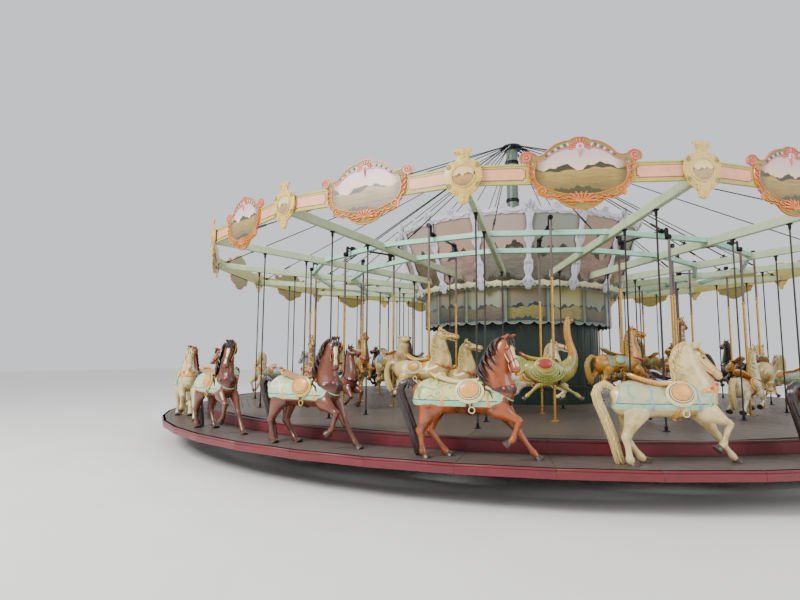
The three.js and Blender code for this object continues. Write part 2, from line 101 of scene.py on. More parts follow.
class NodeSketch:
    """A material's node tree, with short calls for the nodes that the finishes use."""

    def __init__(self, name: str) -> None:
        """Starts a material on a Principled shader.

        Args:
            name: The material's name.
        """
        self.material = bpy.data.materials.new(name)
        self.material.use_nodes = True
        self.tree = self.material.node_tree
        self.shader = self.tree.nodes["Principled BSDF"]

    def add(self, kind: str, sockets: Mapping[str | int, object], **settings: object) -> bpy.types.Node:
        """Adds a node and fills its sockets.

        Args:
            kind: The node's type, without its ShaderNode prefix.
            sockets: A socket to link or a constant for each input, by name or number.
            **settings: The node's own settings.

        Returns:
            The new node.
        """
        node = self.tree.nodes.new("ShaderNode" + kind)
        for name, value in settings.items():
            setattr(node, name, value)
        for key, value in sockets.items():
            self.feed(node.inputs[key], value)
        return node

    def feed(self, socket: Socket, value: object) -> None:
        """Links a socket to another one, or sets its constant.

        Args:
            socket: The socket to feed.
            value: The other socket, or the constant.
        """
        if isinstance(value, Socket):
            self.tree.links.new(value, socket)
        else:
            socket.default_value = value

    def place(self, stretch: Row = (1.0, 1.0, 1.0)) -> Socket:
        """The object's own coordinates, stretched along the axes."""
        coordinates = self.add("TexCoord", {})
        return self.add("Mapping", {"Vector": coordinates.outputs["Object"], "Scale": stretch}).outputs[0]

    def noise(self, where: object, scale: float, detail: float = 4.0, rough: float = 0.6) -> Socket:
        """The strength of a noise at a place, from 0 to 1."""
        sockets = {"Vector": where, "Scale": scale, "Detail": detail, "Roughness": rough}
        return self.add("TexNoise", sockets).outputs[0]

    def cells(self, where: object, scale: float, feature: str = "F1") -> Socket:
        """The distance to the middle of a cell, or another feature of the cells."""
        return self.add("TexVoronoi", {"Vector": where, "Scale": scale}, feature=feature).outputs[0]

    def maths(self, operation: str, *values: object) -> Socket:
        """The result of an arithmetic node."""
        return self.add("Math", dict(enumerate(values)), operation=operation).outputs[0]

    def ramp(self, value: object, stops: Sequence[tuple[float, Colour]], sharp: bool = False) -> Socket:
        """The colour for a value between the given stops.

        Args:
            value: What is looked up.
            stops: Positions and their colours.
            sharp: Whether each colour holds until the next stop.

        Returns:
            The colour.
        """
        node = self.add("ValToRGB", {0: value})
        elements = node.color_ramp.elements
        while len(elements) < len(stops):
            elements.new(0.5)
        for element, (position, colour) in zip(elements, stops):
            element.position = position
            element.color = colour
        node.color_ramp.interpolation = "CONSTANT" if sharp else "LINEAR"
        return node.outputs[0]

    def level(self, value: object, low: float, high: float, to: tuple[float, float] = (0.0, 1.0)) -> Socket:
        """A value between two limits, spread over a new range and held there."""
        sockets = {0: value, 1: low, 2: high, 3: to[0], 4: to[1]}
        return self.add("MapRange", sockets, clamp=True).outputs[0]

    def blend(self, share: object, first: object, second: object) -> Socket:
        """Two colours mixed by a share."""
        node = self.add("Mix", {0: share, 6: first, 7: second}, data_type="RGBA")
        return node.outputs[2]

    def relief(self, height: object, depth: float, strength: float = 1.0) -> None:
        """Gives the shader a bump from a height."""
        node = self.add("Bump", {"Height": height, "Strength": strength, "Distance": depth})
        self.feed(self.shader.inputs["Normal"], node.outputs[0])

    def finish(self, **values: object) -> Material:
        """Fills the shader's sockets.

        Args:
            **values: A socket or constant for each, spaces in its name written as underscores.

        Returns:
            The finished material.
        """
        for name, value in values.items():
            self.feed(self.shader.inputs[name.replace("_", " ")], value)
        return self.material


class Hide(Enum):
    """The painted markings of an animal's coat."""

    PLAIN = "plain"
    DAPPLED = "dappled"
    BLOTCHED = "blotched"
    FEATHERED = "feathered"


class Pattern(Enum):
    """What is painted on a trapping."""

    SPRIGS = "sprigs"
    SCROLLS = "scrolls"


@dataclass(frozen=True)
class Finish:
    """A finish by name. Each kind paints its own material, made once and kept."""

    name: str

    def paint(self) -> Material:
        """Makes the material."""
        raise NotImplementedError

    @property
    def material(self) -> Material:
        """The material of this finish."""
        return material_of(self)


@cache
def material_of(finish: Finish) -> Material:
    """A finish's material, painted when it is first asked for."""
    return finish.paint()


@dataclass(frozen=True)
class Enamel(Finish):
    """Gloss or satin paint with mottling and grime, and with the streaks of a brush where it has them."""

    code: int
    rough: float = 0.45
    wear: float = 0.25
    scale: float = 6.0
    coat: float = 0.15
    brushed: bool = False

    def paint(self) -> Material:
        """Makes the painted material.

        Returns:
            The material.
        """
        art = NodeSketch(self.name)
        where = art.place()
        base = tint(self.code)
        patches = art.noise(where, self.scale)
        colour = art.ramp(patches, [(0.25, shaded(base, 0.8)), (0.55, base), (0.85, shaded(base, 1.12))])
        grime = art.level(art.noise(where, self.scale * 3.1, 6.0, 0.75), 0.52, 0.75, (0.0, self.wear))
        colour = art.blend(grime, colour, shaded(base, 0.42))
        height = art.noise(where, 90.0, 2.0)
        if self.brushed:
            streaks = art.noise(art.place((14.0, 14.0, 0.7)), 5.0, 5.0, 0.7)
            colour = art.blend(art.level(streaks, 0.5, 0.75, (0.0, 0.45)), colour, shaded(base, 0.66))
            height = art.maths("ADD", height, art.maths("MULTIPLY", streaks, 2.0))
        art.relief(height, 0.0015, 0.5)
        rough = art.level(patches, 0.2, 0.8, (self.rough - 0.08, self.rough + 0.14))
        return art.finish(Base_Color=colour, Roughness=rough, Coat_Weight=self.coat, Coat_Roughness=0.2)


@dataclass(frozen=True)
class Metal(Finish):
    """Bare or blackened metal with tarnish and fine scratches."""

    code: int
    rough: float = 0.3
    tarnish: int = 0x3A2A16

    def paint(self) -> Material:
        """Makes the metal.

        Returns:
            The material.
        """
        art = NodeSketch(self.name)
        where = art.place()
        spots = art.level(art.noise(where, 11.0, 6.0, 0.7), 0.5, 0.78, (0.0, 0.7))
        colour = art.blend(spots, tint(self.code), tint(self.tarnish))
        scratches = art.noise(art.place((40.0, 40.0, 3.0)), 8.0, 3.0)
        rough = art.level(spots, 0.0, 0.7, (self.rough, self.rough + 0.3))
        art.relief(scratches, 0.0006, 0.5)
        return art.finish(Base_Color=colour, Roughness=rough, Metallic=0.85)


@dataclass(frozen=True)
class Coat(Finish):
    """An animal's coat: oil paint over carved wood under old varnish."""

    code: int
    shade: int
    hide: Hide = Hide.PLAIN

    def paint(self) -> Material:
        """Makes the coat.

        Returns:
            The material.
        """
        art = NodeSketch(self.name)
        where = art.place()
        base, shade = tint(self.code), tint(self.shade)
        cloud = art.noise(where, 5.0, 5.0)
        colour = art.ramp(cloud, [(0.3, shade), (0.52, base), (0.8, shaded(base, 1.15))])
        height = art.noise(where, 70.0, 3.0)
        if self.hide is Hide.DAPPLED:
            spots = art.level(art.cells(where, 22.0), 0.25, 0.55, (0.75, 0.0))
            colour = art.blend(spots, colour, shaded(base, 1.6))
        if self.hide is Hide.BLOTCHED:
            edges = art.cells(where, 9.0, "DISTANCE_TO_EDGE")
            colour = art.blend(art.level(edges, 0.05, 0.1), colour, shade)
        if self.hide is Hide.FEATHERED:
            rows = art.add("TexWave", {"Vector": where, "Scale": 9.0, "Distortion": 9.0, "Detail": 3.0})
            colour = art.blend(art.level(rows.outputs[1], 0.3, 0.9, (0.55, 0.0)), colour, shade)
            height = art.maths("ADD", height, rows.outputs[1])
        cracks = art.level(art.noise(where, 38.0, 8.0, 0.8), 0.56, 0.7, (0.0, 0.5))
        colour = art.blend(cracks, colour, shaded(shade, 0.6))
        art.relief(height, 0.002, 0.6)
        rough = art.level(cloud, 0.3, 0.8, (0.24, 0.42))
        return art.finish(Base_Color=colour, Roughness=rough, Coat_Weight=0.5, Coat_Roughness=0.12)


@dataclass(frozen=True)
class Hair(Finish):
    """A carved mane or tail: dark strands cut into the wood."""

    code: int

    def paint(self) -> Material:
        """Makes the carved hair.

        Returns:
            The material.
        """
        art = NodeSketch(self.name)
        base = tint(self.code)
        strands = art.add(
            "TexWave", {"Vector": art.place(), "Scale": 14.0, "Distortion": 14.0, "Detail": 4.0})
        line = strands.outputs[1]
        colour = art.ramp(line, [(0.1, shaded(base, 0.7)), (0.6, base), (0.95, shaded(base, 1.2))])
        art.relief(line, 0.004, 0.7)
        return art.finish(Base_Color=colour, Roughness=0.34, Coat_Weight=0.4, Coat_Roughness=0.15)


@dataclass(frozen=True)
class Cloth(Finish):
    """Painted trappings: a field with small flowers or leafy strokes, and a woven bump."""

    code: int
    flower: int
    pattern: Pattern = Pattern.SPRIGS
    scale: float = 16.0

    def paint(self) -> Material:
        """Makes the trapping.

        Returns:
            The material.
        """
        art = NodeSketch(self.name)
        where = art.place()
        base, flower = tint(self.code), tint(self.flower)
        colour = art.blend(art.noise(where, 7.0), shaded(base, 0.78), shaded(base, 1.1))
        if self.pattern is Pattern.SPRIGS:
            mark = art.cells(where, self.scale)
            colour = art.blend(art.level(mark, 0.2, 0.26, (1.0, 0.0)), colour, flower)
            colour = art.blend(art.level(mark, 0.08, 0.11, (1.0, 0.0)), colour, shaded(flower, 0.45))
        else:
            bends = art.add("TexNoise", {"Vector": where, "Scale": self.scale * 0.55, "Detail": 1.0})
            mark = art.cells(art.blend(0.22, where, bends.outputs[1]), self.scale)
            curl = art.maths("PINGPONG", mark, 0.17)
            thin = art.level(art.noise(where, self.scale * 1.3, 2.0), 0.35, 0.65, (0.1, 0.15))
            colour = art.blend(art.level(art.maths("SUBTRACT", curl, thin), 0.0, 0.012), colour, flower)
            colour = art.blend(art.level(mark, 0.035, 0.05, (1.0, 0.0)), colour, shaded(flower, 0.6))
        weave = art.noise(where, 160.0, 2.0)
        art.relief(art.maths("SUBTRACT", weave, mark), 0.002, 0.6)
        return art.finish(Base_Color=colour, Roughness=0.42, Coat_Weight=0.3, Coat_Roughness=0.2)


@dataclass(frozen=True)
class Painting(Finish):
    """A painted panel, laid out on the piece's own map: sky, far trees and ground, one seed to a panel.

    The map's u runs from a panel's number to the next, and v from its foot to its head.
    """

    skies: tuple[int, int]
    grounds: tuple[int, int]
    trees: int
    tints: tuple[int, ...]
    horizon: float = 0.5
    tinge: float = 0.35

    def paint(self) -> Material:
        """Makes the painting.

        Returns:
            The material.
        """
        art = NodeSketch(self.name)
        uv = art.add("SeparateXYZ", {0: art.add("TexCoord", {}).outputs["UV"]}).outputs
        seed = art.maths("FLOOR", uv[0])
        across = art.maths("FRACT", uv[0])
        up = uv[1]
        high, low = (tint(code) for code in self.skies)
        near, far = (tint(code) for code in self.grounds)
        green = tint(self.trees)
        spot = art.add("CombineXYZ", {0: across, 1: up, 2: art.maths("MULTIPLY", seed, 3.7)}).outputs[0]
        ridge = art.add("CombineXYZ", {0: across, 1: 0.0, 2: art.maths("MULTIPLY", seed, 5.3)}).outputs[0]
        line = art.level(art.noise(ridge, 2.2, 2.0), 0.2, 0.8, (self.horizon - 0.14, self.horizon + 0.14))
        stops = [(i / len(self.tints), tint(code)) for i, code in enumerate(self.tints)]

        def tinged(colour: object, step: float) -> Socket:
            """A colour drawn towards one of the tints.

            Args:
                colour: The colour.
                step: What is added to the panel's number before the tint is picked.

            Returns:
                The colour for that panel.
            """
            number = art.maths("ADD", seed, step)
            chance = art.add("TexWhiteNoise", {"W": number}, noise_dimensions="1D").outputs[0]
            return art.blend(self.tinge, colour, art.ramp(chance, stops, sharp=True))

        sky = art.ramp(up, [(self.horizon, low), (0.95, high)])
        sky = art.blend(art.level(art.noise(spot, 3.0, 4.0), 0.45, 0.7, (0.0, 0.4)), sky, low)
        sky = tinged(sky, 0.0)
        depth = art.maths("SUBTRACT", line, up)
        ground = art.ramp(depth, [(0.0, near), (0.4, far)])
        ground = tinged(ground, 40.0)
        strokes = art.add("Mapping", {"Vector": spot, "Scale": (5.0, 22.0, 1.0)}).outputs[0]
        strokes = art.level(art.noise(strokes, 1.0, 5.0, 0.7), 0.4, 0.7, (0.0, 0.55))
        ground = art.blend(strokes, ground, shaded(far, 0.55))
        crowns = art.level(art.noise(ridge, 5.0, 2.0, 0.35), 0.34, 0.6, (-0.03, 0.12))
        fringe = art.level(art.noise(spot, 26.0, 3.0), 0.3, 0.7, (-0.012, 0.012))
        trees = art.level(art.maths("ADD", art.maths("ADD", depth, crowns), fringe), -0.004, 0.006)
        leaves = art.ramp(art.noise(spot, 18.0, 4.0), [(0.35, shaded(green, 0.7)), (0.7, green)])
        picture = art.blend(trees, sky, leaves)
        picture = art.blend(art.level(depth, -0.005, 0.01), picture, ground)
        bank = art.level(art.noise(ridge, 3.1, 3.0, 0.7), 0.3, 0.7, (0.0, 0.24))
        bank = art.level(art.maths("SUBTRACT", bank, up), -0.01, 0.02)
        picture = art.blend(bank, picture, art.blend(strokes, shaded(green, 1.3), green))
        edge = art.maths("MULTIPLY", art.level(across, 0.0, 0.14), art.level(across, 0.86, 1.0, (1.0, 0.0)))
        picture = art.blend(edge, shaded(far, 0.7), picture)
        art.relief(art.noise(spot, 60.0, 4.0), 0.0015, 0.5)
        return art.finish(Base_Color=picture, Roughness=0.4, Coat_Weight=0.3, Coat_Roughness=0.25)


@dataclass(frozen=True)
class StudioFloor(Finish):
    """A plain pale floor."""

    def paint(self) -> Material:
        """Makes the floor.

        Returns:
            The material.
        """
        art = NodeSketch(self.name)
        cloud = art.noise(art.place(), 0.7)
        colour = art.ramp(cloud, [(0.3, tint(0xEDEBE7)), (0.7, tint(0xF3F1EE))])
        return art.finish(Base_Color=colour, Roughness=0.6)


SWEEP_GREEN = Enamel("sweep_green", 0xB9C8A0, 0.5, brushed=True)
RING_MINT = Enamel("ring_mint", 0xA6DEC2, 0.5, brushed=True)
IRON = Metal("black_iron", 0x24242A, 0.42, 0x3A2B22)
STEEL = Metal("dark_steel", 0x4A4442, 0.34, 0x2A2220)
BRASS = Metal("pole_brass", 0xC79A4B, 0.26, 0x6A4A20)
SHAFT_PAINT = Enamel("shaft_paint", 0x6B5A58, 0.42, 0.4)
MAST_PAINT = Enamel("mast_paint", 0x5F7265, 0.5, 0.4, brushed=True)
HOUSING_GREEN = Enamel("housing_green", 0x0C2A20, 0.45, 0.3, brushed=True)
TRIM_GREEN = Enamel("trim_green", 0x0A2019, 0.4)
BOARD_CREAM = Enamel("board_cream", 0xBDB25C, 0.45, 0.3)
BOARD_PEACH = Enamel("board_peach", 0xF0A884, 0.42, 0.12)
INDIGO = Enamel("indigo", 0x39446A, 0.4)
LINE_RUSSET = Enamel("line_russet", 0x9A4A34, 0.45)
CORAL = Enamel("coral", 0xDE6C62, 0.36, 0.35, 12.0, 0.35)
ORANGE_GOLD = Enamel("orange_gold", 0xD87E24, 0.32, 0.4, 14.0, 0.4)
SHIELD_GREEN = Enamel("shield_green", 0x8F8540, 0.42, 0.35, 10.0)
YELLOW_GOLD = Enamel("yellow_gold", 0xD7B45C, 0.34, 0.4, 12.0, 0.35)
LAVENDER = Enamel("lavender_white", 0xD2CFDC, 0.42, 0.45, 14.0)
RAIL_CREAM = Enamel("rail_cream", 0xDDD9AE, 0.42, 0.4, 14.0)
CARVED_GREY = Enamel("carved_grey", 0xA3B0A4, 0.5, 0.35, 14.0)
BACK_BOARD = Enamel("back_board", 0x6E6656, 0.7, 0.4, brushed=True)
FRAME_OLIVE = Enamel("frame_olive", 0x7A8466, 0.45, 0.35, 10.0)
EDGE_SILVER = Enamel("edge_silver", 0x9AA8A8, 0.4, 0.4, 12.0)
DECK_BROWN = Enamel("deck_brown", 0x51443C, 0.6, 0.5, brushed=True)
# Dark timber for the joists, and the painted shadow under the platform's rim
DECK_DARK = Enamel("deck_dark", 0x2B2523, 0.65)
MAROON = Enamel("maroon", 0x6E1C26, 0.42, 0.35, brushed=True)
MAROON_DEEP = Enamel("maroon_deep", 0x581A20, 0.45)
SHIELD_SCENE = Painting("shield_scene",
    (0xC6B6CC, 0xF0CBB0), (0xB0924A, 0x6A5A2C), 0x3C3E22, (0xD8B060, 0xC9A0A8, 0xA89A60, 0xD09A6A), 0.5, 0.14)
MEDALLION = Painting("medallion",
    (0xE8C25A, 0xEAD9A0), (0xB88A4A, 0x7A6A50), 0x8A5A3A, (0xE0B050, 0xC9A080, 0xA8A890), 0.5, 0.3)
DRUM_SCENE = Painting("drum_scene", (0x8E8F84, 0xA58A78),
    (0x7E5836, 0x46341F), 0x3A3424, (0x7E8A80, 0x9A4E34, 0xC2A09A, 0x4E4A30, 0xC09078), 0.46, 0.5)
SKIRT_SCENE = Painting("skirt_scene", (0xA89A58, 0x7A9A96),
    (0x7E7E52, 0x45462F), 0x232C36, (0xB8A44A, 0x5A9096, 0x6A3A2A, 0x2E3A44, 0x8A8458), 0.44, 0.45)


def interpolated(stations: Rows, between: int) -> list[tuple[float, ...]]:
    """Rows of numbers with smooth rows put in between, on Catmull-Rom curves.

    Args:
        stations: The rows to pass through.
        between: How many steps to take from one row to the next.

    Returns:
        The longer list of rows, first and last kept.
    """
    rows = [stations[0], *stations, stations[-1]]
    smooth = []
    for before, start, end, after in zip(rows, rows[1:], rows[2:], rows[3:]):
        for step in range(between):
            t = step / between
            pull = (2 * t**2 - t - t**3, 2 - 5 * t**2 + 3 * t**3, t + 4 * t**2 - 3 * t**3, t**3 - t**2)
            columns = zip(before, start, end, after)
            smooth.append(tuple(sum(p * value for p, value in zip(pull, column)) / 2 for column in columns))
    return [*smooth, tuple(stations[-1])]


def arched(corners: Rows, steps: int = 5) -> Line:
    """A line through corners, where each corner's third number bulges the stretch after it into an arc.

    Args:
        corners: x, z and the bulge, which is the tangent of a quarter of the arc's angle.
        steps: Straight steps to an arc.

    Returns:
        The points of the line.
    """
    points = []
    for (x0, z0, bulge), (x1, z1, _) in zip(corners, corners[1:]):
        points.append((x0, z0))
        if bulge:
            chord = Vector((x1 - x0, z1 - z0))
            half = 2 * atan(bulge)
            radius = chord.length / (2 * sin(half))
            across = Vector((-chord.y, chord.x)).normalized()
            centre = Vector((x0 + x1, z0 + z1)) / 2 + across * radius * cos(half)
            spoke = Vector((x0, z0)) - centre
            for step in range(1, steps):
                turn = Matrix.Rotation(2 * half * step / steps, 2)
                points.append(tuple(centre + turn @ spoke))
    points.append(tuple(corners[-1][:2]))
    return points


def mirrored(half: Outline) -> Line:
    """A closed outline from its right half, which runs from the foot to the head on the middle line."""
    return [*half, *[(-x, z) for x, z in reversed(half) if x > 1e-6]]


def placed(centre: Row, size: Row, turn: Matrix | None) -> Matrix:
    """What puts a unit shape in its place at its size, turned about its middle."""
    return Matrix.Translation(centre) @ (turn or Matrix.Identity(4)) @ Matrix.Diagonal((*size, 1))


def corners_of(faces: Iterable[Face]) -> list[Vert]:
    """The corners of some faces, each of them once."""
    return list(dict.fromkeys(vert for face in faces for vert in face.verts))


class Workbench:
    """A mesh in the making. Operators add closed shells to it, and each keeps the finish it was given."""

    def __init__(self) -> None:
        """Starts with nothing on the bench."""
        self.bm = bmesh.new()
        self.uv = self.bm.loops.layers.uv.new("painting")
        self.finishes: list[Hashable] = []

    def claim(self, finish: Hashable) -> list[Face]:
        """Gives a finish to every face that has none yet.

        Args:
            finish: The finish, or what the figure's livery knows it by.

        Returns:
            Those faces.
        """
        if finish not in self.finishes:
            self.finishes.append(finish)
        fresh = [face for face in self.bm.faces if face.material_index == 0]
        for face in fresh:
            face.material_index = self.finishes.index(finish) + 1
            face.smooth = True
        return fresh

    def soften(self, edges: Iterable[Edge], width: float, segments: int = 1) -> None:
        """Rounds some edges."""
        bmesh.ops.bevel(self.bm, geom=list(edges), offset=width, offset_type="OFFSET",
            segments=segments, profile=0.5, affect="EDGES", clamp_overlap=True, material=-1)

    def block(self,
            size: Row, centre: Row, finish: Hashable, bevel: float = 0.0, turn: Matrix | None = None) -> None:
        """Adds a box with softened edges.

        Args:
            size: Its length on each axis.
            centre: Where its middle goes.
            finish: The finish it gets.
            bevel: How wide its edges are broken.
            turn: A rotation about its middle.
        """
        verts = bmesh.ops.create_cube(self.bm, size=1.0, matrix=placed(centre, size, turn))["verts"]
        if bevel:
            self.soften(dict.fromkeys(edge for vert in verts for edge in vert.link_edges), bevel)
        self.claim(finish)

    def ball(self,
            centre: Row, radii: Row, finish: Hashable, detail: int = 1, turn: Matrix | None = None) -> None:
        """Adds an ellipsoid of few faces.

        Args:
            centre: Where its middle goes.
            radii: Its half size on each axis.
            finish: The finish it gets.
            detail: How often its faces are divided.
            turn: A rotation about its middle.
        """
        spot = placed(centre, radii, turn)
        bmesh.ops.create_icosphere(self.bm, subdivisions=detail, radius=1.0, matrix=spot)
        self.claim(finish)

    def rod(self, start: Row, end: Row, radius: float, finish: Hashable, sides: int = 8) -> None:
        """Adds a round bar.

        Args:
            start: The middle of one end.
            end: The middle of the other.
            radius: Its radius.
            finish: The finish it gets.
            sides: Facets round it.
        """
        start, end = Vector(start), Vector(end)
        along = end - start
        spot = Matrix.Translation((start + end) / 2) @ along.to_track_quat("Z", "Y").to_matrix().to_4x4()
        bmesh.ops.create_cone(self.bm,
            cap_ends=True, segments=sides, radius1=radius, radius2=radius, depth=along.length, matrix=spot)
        self.claim(finish)

    def turned(self, profile: Outline, finish: Hashable, steps: int = 16, spot: Matrix | None = None) -> None:
        """Adds a turned shape.

        Args:
            profile: Radius and height pairs, from one end of the axis to the other, or closed on itself.
            finish: The finish it gets.
            steps: Facets round the axis.
            spot: Where the turned shape is put.
        """
        verts = [self.bm.verts.new((radius, 0, z)) for radius, z in profile]
        edges = [self.bm.edges.new(pair) for pair in zip(verts, verts[1:])]
        if profile[0][0] > 0:
            edges.append(self.bm.edges.new((verts[-1], verts[0])))
        bmesh.ops.spin(self.bm, geom=verts + edges, cent=(0, 0, 0), axis=(0, 0, 1),
            angle=2 * pi, steps=steps, use_merge=True, use_normal_flip=False, use_duplicate=False)
        verts = corners_of(self.claim(finish))
        bmesh.ops.remove_doubles(self.bm, verts=verts, dist=1e-5)
        if spot is not None:
            bmesh.ops.transform(self.bm, matrix=spot, verts=[vert for vert in verts if vert.is_valid])

    def raised(self, corners: Iterable[Row], rise: Row) -> Face:
        """Adds a flat slab, its finish still to be claimed.

        Args:
            corners: The corners of its first face.
            rise: The way and the distance to the face opposite.

        Returns:
            The face opposite.
        """
        base = self.bm.faces.new([self.bm.verts.new(corner) for corner in corners])
        made = bmesh.ops.extrude_face_region(self.bm, geom=[base], use_keep_orig=True)["geom"]
        far = next(item for item in made if isinstance(item, Face))
        bmesh.ops.translate(self.bm, verts=far.verts, vec=rise)
        return far

    def plate(self, outline: Outline, depth: float,
            finish: Hashable, spot: Matrix | None = None, bevel: float = 0.0, picture: bool = False) -> None:
        """Adds a board cut to an outline, seen from the front.

        Args:
            outline: x and z pairs round the board.
            depth: Its thickness, towards -y.
            finish: The finish it gets.
            spot: Where the board is put.
            bevel: How wide its front edge is broken.
            picture: Whether its map runs once over the outline, for a painting.
        """
        front = self.raised([(x, 0, z) for x, z in outline], (0, -depth, 0))
        if bevel:
            self.soften(front.edges, bevel, 2)
        fresh = self.claim(finish)
        if picture:
            xs, zs = [x for x, _ in outline], [z for _, z in outline]
            for loop in (loop for item in fresh for loop in item.loops):
                loop[self.uv].uv = ((loop.vert.co.x - min(xs)) / (max(xs) - min(xs)) * 0.998 + 0.001,
                    (loop.vert.co.z - min(zs)) / (max(zs) - min(zs)))
        if spot is not None:
            bmesh.ops.transform(self.bm, matrix=spot, verts=corners_of(fresh))

    def tube(self, stations: Rows, finish: Hashable, sides: int = 10,
            between: int = 1, side: Row = (0, 1, 0), spot: Matrix | None = None) -> list[Face]:
        """Adds a swept body with an oval section.

        Args:
            stations: Rows of x, y, z, half depth, half width and, for a narrow back, a pinch.
            finish: The finish it gets.
            sides: Points round the section.
            between: Smooth steps from one station to the next.
            side: The direction of the section's width.
            spot: Where the body is put.

        Returns:
            The faces of the body.
        """
        full = [(*row, 0.0) if len(row) == 5 else tuple(row) for row in stations]
        rows = interpolated(full, between) if between > 1 else full
        centres = [Vector(row[:3]) for row in rows]
        last = len(rows) - 1
        ring = bmesh.ops.create_circle(self.bm, cap_ends=False, radius=1.0, segments=sides)["verts"]
        unit = {vert: vert.co.copy() for vert in ring}
        edges = list(dict.fromkeys(edge for vert in ring for edge in vert.link_edges))
        first = edges
        for i, (_, _, _, depth, width, pinch) in enumerate(rows):
            if i:
                made = bmesh.ops.extrude_edge_only(self.bm, edges=edges)["geom"]
                ring = [item for item in made if isinstance(item, Vert)]
                edges = [item for item in made if isinstance(item, Edge) and item.is_boundary]
                unit = {vert: next(unit[edge.other_vert(vert)]
                    for edge in vert.link_edges if edge.other_vert(vert) in unit) for vert in ring}
            along = (centres[min(i + 1, last)] - centres[max(i - 1, 0)]).normalized()
            wide = Vector(side)
            wide = (wide - wide.dot(along) * along).normalized()
            deep = along.cross(wide)
            for vert in ring:
                u, v, _ = unit[vert]
                vert.co = centres[i] + wide * (u * width * (1 - pinch * max(v, 0.0))) + deep * (v * depth)
            if spot is not None:
                bmesh.ops.transform(self.bm, matrix=spot, verts=ring)
        for loop in (first, edges):
            bmesh.ops.contextual_create(self.bm, geom=loop)
        return self.claim(finish)

    def scroll(self, centre: Row, radius: float, turns: float,
            start: float, thick: float, finish: Hashable, spot: Matrix | None = None, hand: int = 1) -> None:
        """Adds a carved volute that winds in towards its eye, in the x-z plane.

        Args:
            centre: The eye of the volute.
            radius: How far out it starts.
            turns: How often it winds.
            start: The angle it starts at, in radians from +x.
            thick: Half its thickness at the start.
            finish: The finish it gets.
            spot: Where it is put.
            hand: 1 winds up from +x, -1 the other way.
        """
        steps = max(6, int(turns * 10))
        rows = []
        for i in range(steps + 1):
            share = i / steps
            reach = radius * (1 - 0.8 * share)
            angle = start + hand * 2 * pi * turns * share
            girth = thick * (1 - 0.45 * share)
            x, z = centre[0] + reach * cos(angle), centre[2] + reach * sin(angle)
            rows.append((x, centre[1], z, girth, girth))
        self.tube(rows, finish, 6, spot=spot)
        eye = thick * 1.1
        at = (spot or Matrix.Identity(4)) @ Vector(centre)
        self.ball(at, (eye, eye, eye), finish)

    def mesh(self, name: str) -> Mesh:
        """Takes the finished mesh off the bench.

        Args:
            name: The mesh's name.

        Returns:
            The mesh, its normals outwards, a slot for each finish, empty where that comes later.
        """
        for face in self.bm.faces:
            face.material_index -= 1
        bmesh.ops.recalc_face_normals(self.bm, faces=self.bm.faces)
        mesh = bpy.data.meshes.new(name)
        self.bm.to_mesh(mesh)
        self.bm.free()
        for finish in self.finishes:
            mesh.materials.append(finish.material if isinstance(finish, Finish) else None)
        mesh.set_sharp_from_angle(angle=SHARP_ANGLE)
        return mesh


def repeated(mesh: Mesh, places: Sequence[Matrix]) -> Mesh:
    """One mesh with a copy at each place, the painting of each copy numbered on its map.

    Args:
        mesh: The mesh to copy.
        places: Where the copies go.

    Returns:
        The joined mesh. The one that was copied is deleted.
    """
    bm = bmesh.new()
    for place in places:
        copy = mesh.copy()
        copy.transform(place)
        bm.from_mesh(copy)
        bpy.data.meshes.remove(copy)
    layer = bm.loops.layers.uv["painting"]
    bm.faces.ensure_lookup_table()
    per_copy = max(len(bm.faces) // len(places), 1)
    for index, face in enumerate(bm.faces):
        for loop in face.loops:
            loop[layer].uv.x += index // per_copy
    joined = bpy.data.meshes.new(mesh.name)
    bm.to_mesh(joined)
    bm.free()
    for material in mesh.materials:
        joined.materials.append(material)
    bpy.data.meshes.remove(mesh)
    joined.set_sharp_from_angle(angle=SHARP_ANGLE)
    return joined


def install(name: str,
        mesh: Mesh, body: str, replaces: Sequence[str] = ()) -> bpy.types.Object:
    """Puts a finished mesh in the scene on a body of the frame.

    Args:
        name: The piece's name.
        mesh: Its mesh, already in place.
        body: The body it rides on.
        replaces: The frame's nodes that it stands for.

    Returns:
        The new object.
    """
    piece = bpy.data.objects.new(name, mesh)
    bpy.context.scene.collection.objects.link(piece)
    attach(piece, body)
    if replaces:
        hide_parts(*replaces)
    LOG.info("%s: %d faces on %s", name, len(mesh.polygons), body)
    return piece


def dress(node: str, finish: Finish) -> None:
    """Gives a node of the frame its finish.

    Args:
        node: The node's name.
        finish: The finish it gets.
    """
    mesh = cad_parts[node].data
    mesh.materials.clear()
    mesh.materials.append(finish.material)


def bay_places(offset: float = 0.0, count: int = BAYS) -> list[Matrix]:
    """Turns about the mast for each bay, or for another count of like parts."""
    return [swung("Z", 2 * pi * (index + offset) / count) for index in range(count)]


@dataclass
class Assembly:
    """A sub-assembly, whose pieces are made one after another on its bench."""

    bench: Workbench = field(default_factory=Workbench, init=False, repr=False)

    def put(self, name: str, slot: str,
            places: Sequence[Matrix] = (), replaces: Sequence[str] = (), body: str = "turning_frame") -> None:
        """Takes what is on the bench, repeats it and installs it.

        Args:
            name: The piece's name.
            slot: A material slot's name; not used.
            places: Where its copies go, if it is repeated.
            replaces: The frame's nodes that it stands for.
            body: The body it rides on.
        """
        mesh = self.bench.mesh(name)
        self.bench = Workbench()
        install(name, repeated(mesh, places) if places else mesh, body, replaces)


